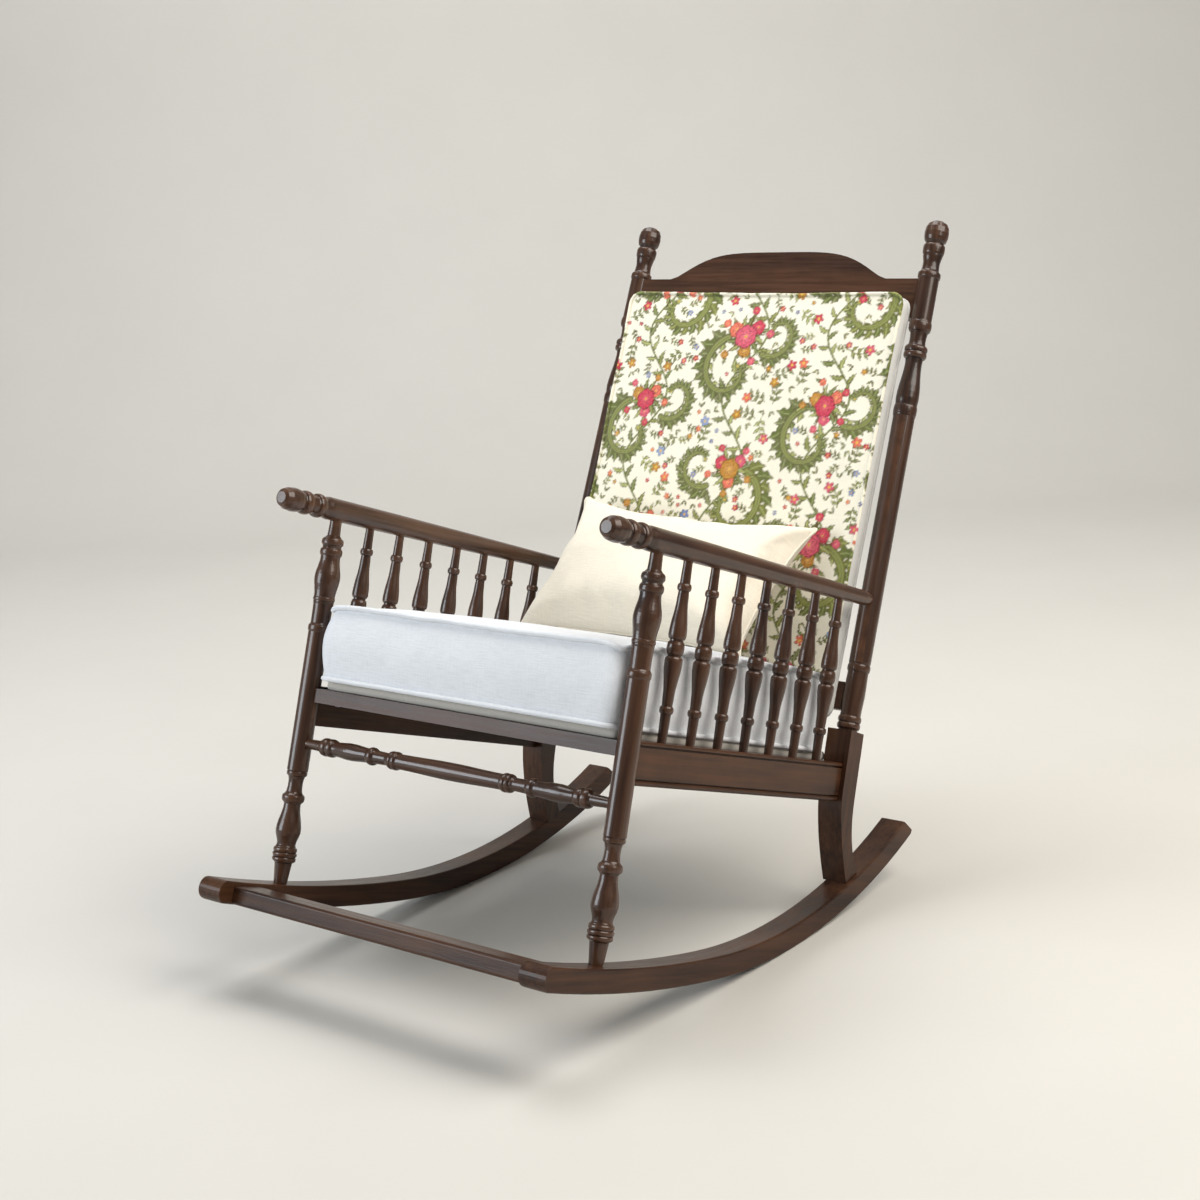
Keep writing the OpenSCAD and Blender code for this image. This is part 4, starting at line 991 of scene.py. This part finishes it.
class ROCKER_OT_make_back_pad(bpy.types.Operator):
    """Sew the thin back pad: a printed front, a plain boxing and a welt round each face"""

    bl_idname = "rocker.make_back_pad"
    bl_label = "Make the Back Pad"

    def execute(self, context):
        finishes, sizes = context.scene.chair_finishes, context.scene.cushion_sizes
        lo, hi = own_box("back_pad", PAD_TURN)
        middle = np.array([(lo[0] + hi[0]) / 2, (lo[1] + hi[1]) / 2, lo[2]])
        half = (hi - lo)[:2] / 2 - 1.5 * MM
        pad_crown, lift = 6 * MM, 1 * MM
        thick = hi[2] - lo[2] - pad_crown
        block = CushionBlock(half, sizes.pad_cell, 4)
        x, y = rounded_plan(block.s, block.t, half, 18 * MM, 3 * MM)
        z = lift + block.w * (thick - lift)
        z += np.where(block.top, 0.5 * pad_crown * crown(block.s, block.t, 4), 0)
        points = np.column_stack([x, y, z])
        top, bottom = block.ring(block.counts[2]), block.ring(0)
        limits = np.where(block.top, 4 * MM, np.where(block.rim, 1.5 * MM, 0.6 * MM))
        points = swollen(points, block.faces, top + bottom, limits, sizes)
        points[:, 2] += ripple(points, 21, 110 * MM, 0.5 * MM) * block.top
        points[:, 0] += ripple(points, 22, 120 * MM, 0.8 * MM) * block.rim
        points[:, 1] += ripple(points, 23, 120 * MM, 0.8 * MM) * block.rim
        made, place, normals = sewn_cover("back_pad_cover", block, points, middle, PAD_TURN,
                                          unfolded(block, points, thick), (top, bottom), lined=True)
        self.refine_front(made.data)
        canvas = self.painted_canvas(half)
        self.print_cloth(made.data, canvas, middle, half)
        printed = woven_material("Printed Cloth", (1, 1, 1), "UV", 800.0, 0.45, attribute="print_colour")
        lining = woven_material("Lining Cloth", finishes.lining_grey, "UV", 900.0, 0.3)
        finish_cushion(made, [printed, lining], BODY_CHAIR, "back_pad")
        cord = woven_material("Printed Cord", (1, 1, 1), "Object", 900.0, 0.3, attribute="print_colour")
        plain_cord = woven_material("Lining Cord", finishes.lining_grey, "Object", 900.0, 0.3)
        front_welt = make_welt("pad_welt_front", place, normals, top, 0.4, sizes.pad_welt,
                               cord, BODY_CHAIR)
        self.print_cloth(front_welt.data, canvas, middle, half)
        make_welt("pad_welt_back", place, normals, bottom, 0.1, sizes.pad_welt,
                  plain_cord, BODY_CHAIR)
        return {"FINISHED"}

    def refine_front(self, mesh):
        """Halves the cells of the printed face, so that its print is sharp."""
        work = bmesh.new()
        work.from_mesh(mesh)
        edges = {edge for face in work.faces if face.material_index == 0 for edge in face.edges}
        bmesh.ops.subdivide_edges(work, edges=list(edges), cuts=1, use_grid_fill=True)
        work.to_mesh(mesh)
        work.free()
        shade_smooth(mesh)

    def painted_canvas(self, half):
        width, height = 2 * half[0], 2 * half[1] + 2 * PRINT_MARGIN
        cloth = PrintedCloth(width + 2 * PRINT_MARGIN, height, PRINT_CELL)
        paint_garden(cloth, width, height)
        return cloth

    def print_cloth(self, mesh, canvas, middle, half):
        """Gives a mesh's points the colours of the canvas that they lie on."""
        points = turned(mesh_points(mesh), -PAD_TURN) - middle
        colours = np.ones((len(points), 4), np.float32)
        colours[:, :3] = canvas.sample(points[:, 0], points[:, 1] + half[1] + PRINT_MARGIN)
        layer = mesh.color_attributes.new("print_colour", "FLOAT_COLOR", "POINT")
        layer.data.foreach_set("color", colours.ravel())


class ROCKER_OT_make_pillow(bpy.types.Operator):
    """Sew and stuff the throw pillow, with a fine welt round its edge"""

    bl_idname = "rocker.make_pillow"
    bl_label = "Make the Throw Pillow"

    def slumped(self, block, points):
        """The pillow as it leans: its upper corners are pulled out, its lower edge rests."""
        left = (np.clip(1 - block.s, 0, 2) / 2 * (1 + block.t) / 2) ** 1.6
        right = ((1 + block.s) / 2 * (1 + block.t) / 2) ** 1.6
        low = ((1 - block.t) / 2) ** 4
        ways = np.array([[-11, 13, 20], [9, 3, 2], [0, -4, -6]]) * MM
        return points + left[:, None] * ways[0] + right[:, None] * ways[1] + low[:, None] * ways[2]

    def execute(self, context):
        finishes, sizes = context.scene.chair_finishes, context.scene.cushion_sizes
        lo, hi = own_box("throw_pillow", PILLOW_TURN)
        middle, half = (lo + hi) / 2, (hi - lo) / 2
        past_solid = 2 * MM
        block = CushionBlock(half, sizes.pillow_cell, 2)
        x, y = rounded_plan(block.s, block.t, half[:2], 6 * MM, 12 * MM)
        swell = half[2] * (1 - block.reach ** 2.2) ** 0.6 * (1 - 0.5 * np.abs(block.s * block.t))
        share = 0.80
        points = np.column_stack([x, y, (2 * block.w - 1) * (swell * share + 1 * MM)])
        points = swollen(points, block.faces, [], np.full(len(points), 14 * MM), sizes)
        points = pushed_out(points, block.faces, ripple(points, 31, 55 * MM, 0.5 * MM))
        points = np.clip(points, -half - past_solid, half + past_solid)
        points = self.slumped(block, points)
        made, place, normals = sewn_cover("pillow_cover", block, points, middle, PILLOW_TURN,
                                          points[:, :2])
        cloth = woven_material("Cream Linen", finishes.linen_cream, "UV", 650.0, 0.7, bump_strength=0.4)
        cord_cloth = woven_material("Cream Linen Cord", finishes.linen_cream, "Object", 900.0, 0.4)
        finish_cushion(made, [cloth], BODY_PILLOW, "throw_pillow")
        make_welt("pillow_welt", place, normals, block.ring(1), 0.4, sizes.pillow_welt,
                  cord_cloth, BODY_PILLOW)
        return {"FINISHED"}


class ROCKER_OT_make_stage(bpy.types.Operator):
    """Set the floor, the soft lights and the camera"""

    bl_idname = "rocker.make_stage"
    bl_label = "Set the Stage"

    def execute(self, context):
        scene = context.scene
        self.make_floor(scene.chair_finishes)
        for light in LIGHTS:
            self.make_light(*light)
        world = bpy.data.worlds.new("Pale Room")
        world.use_nodes = True
        feed(world.node_tree, world.node_tree.nodes["Background"],
             {"Color": SKY_COLOUR, "Strength": SKY_STRENGTH})
        scene.world = world
        scene.view_settings.view_transform = "Standard"
        camera = bpy.data.objects.new("photo_camera", bpy.data.cameras.new("photo_camera"))
        scene.collection.objects.link(camera)
        camera.data.sensor_width = CAMERA_SENSOR
        camera.data.lens = CAMERA_LENS
        camera.location = CAMERA_PLACE
        camera.rotation_euler = [math.radians(a) for a in CAMERA_TURNS]
        scene.camera = camera
        return {"FINISHED"}

    def make_floor(self, finishes):
        """A floor that sweeps up behind the chair, square to the camera's view."""
        steps, bend, ahead, far, wide, tall = 24, 1.6, 6.2, 3.2, 9.0, 7.0
        view = math.radians(37.5)
        profile = [(-ahead, 0.0), (far, 0.0)]
        profile += [(far + bend * math.sin(a), bend * (1 - math.cos(a)))
                    for a in np.linspace(0, math.pi / 2, steps + 1)[1:]]
        profile.append((far + bend, tall))
        points, faces = [], []
        for n, (depth, height) in enumerate(profile):
            for side in (-wide, wide):
                points.append((side * math.cos(view) - depth * math.sin(view),
                               side * math.sin(view) + depth * math.cos(view), height))
            if n:
                faces.append((2 * n - 2, 2 * n - 1, 2 * n + 1, 2 * n))
        floor = new_mesh_object("studio_floor", np.array(points), faces)
        shade_smooth(floor.data)
        material, tree, shader = new_material("Pale Floor")
        place = add_node(tree, "ShaderNodeTexCoord").outputs["Object"]
        pale = rgba(finishes.floor_pale)
        soft = rgba(0.95 * c for c in finishes.floor_pale)
        feed(tree, shader, {"Base Color": mix_colours(tree, noise(tree, place, 3.0, 3.0), pale, soft),
                            "Roughness": 0.75, "Specular IOR Level": 0.2})
        floor.data.materials.append(material)

    def make_light(self, name, place, target, size, power, colour):
        data = bpy.data.lights.new(name, "AREA")
        data.shape = "SQUARE"
        data.size = size
        data.energy = power
        data.color = colour
        lamp = bpy.data.objects.new(name, data)
        lamp.location = place
        way = Vector(target) - Vector(place)
        lamp.rotation_euler = way.to_track_quat("-Z", "Y").to_euler()
        bpy.context.scene.collection.objects.link(lamp)


class ROCKER_PT_panel(bpy.types.Panel):
    """Lists the chair's pieces in the order they are made"""

    bl_idname = "ROCKER_PT_panel"
    bl_label = "Rocking Chair"
    bl_space_type = "VIEW_3D"
    bl_region_type = "UI"
    bl_category = "Rocking Chair"

    def draw(self, context):
        column = self.layout.column(align=True)
        for operator in OPERATORS:
            column.operator(operator.bl_idname)
        for group in (context.scene.chair_finishes, context.scene.cushion_sizes):
            box = self.layout.box()
            for name in group.__annotations__:
                box.prop(group, name)


OPERATORS = (ROCKER_OT_dress_wood, ROCKER_OT_dress_screws, ROCKER_OT_make_deck,
             ROCKER_OT_make_seat_cushion, ROCKER_OT_make_back_pad, ROCKER_OT_make_pillow,
             ROCKER_OT_make_stage)
CLASSES = (ChairFinishes, CushionSizes, *OPERATORS, ROCKER_PT_panel)


def register():
    for each in CLASSES:
        bpy.utils.register_class(each)
    bpy.types.Scene.chair_finishes = PointerProperty(type=ChairFinishes)
    bpy.types.Scene.cushion_sizes = PointerProperty(type=CushionSizes)


def unregister():
    del bpy.types.Scene.chair_finishes
    del bpy.types.Scene.cushion_sizes
    for each in reversed(CLASSES):
        bpy.utils.unregister_class(each)


def main():
    register()
    for operator in OPERATORS:
        group, name = operator.bl_idname.split(".")
        getattr(getattr(bpy.ops, group), name)()


if __name__ == "__main__":
    main()
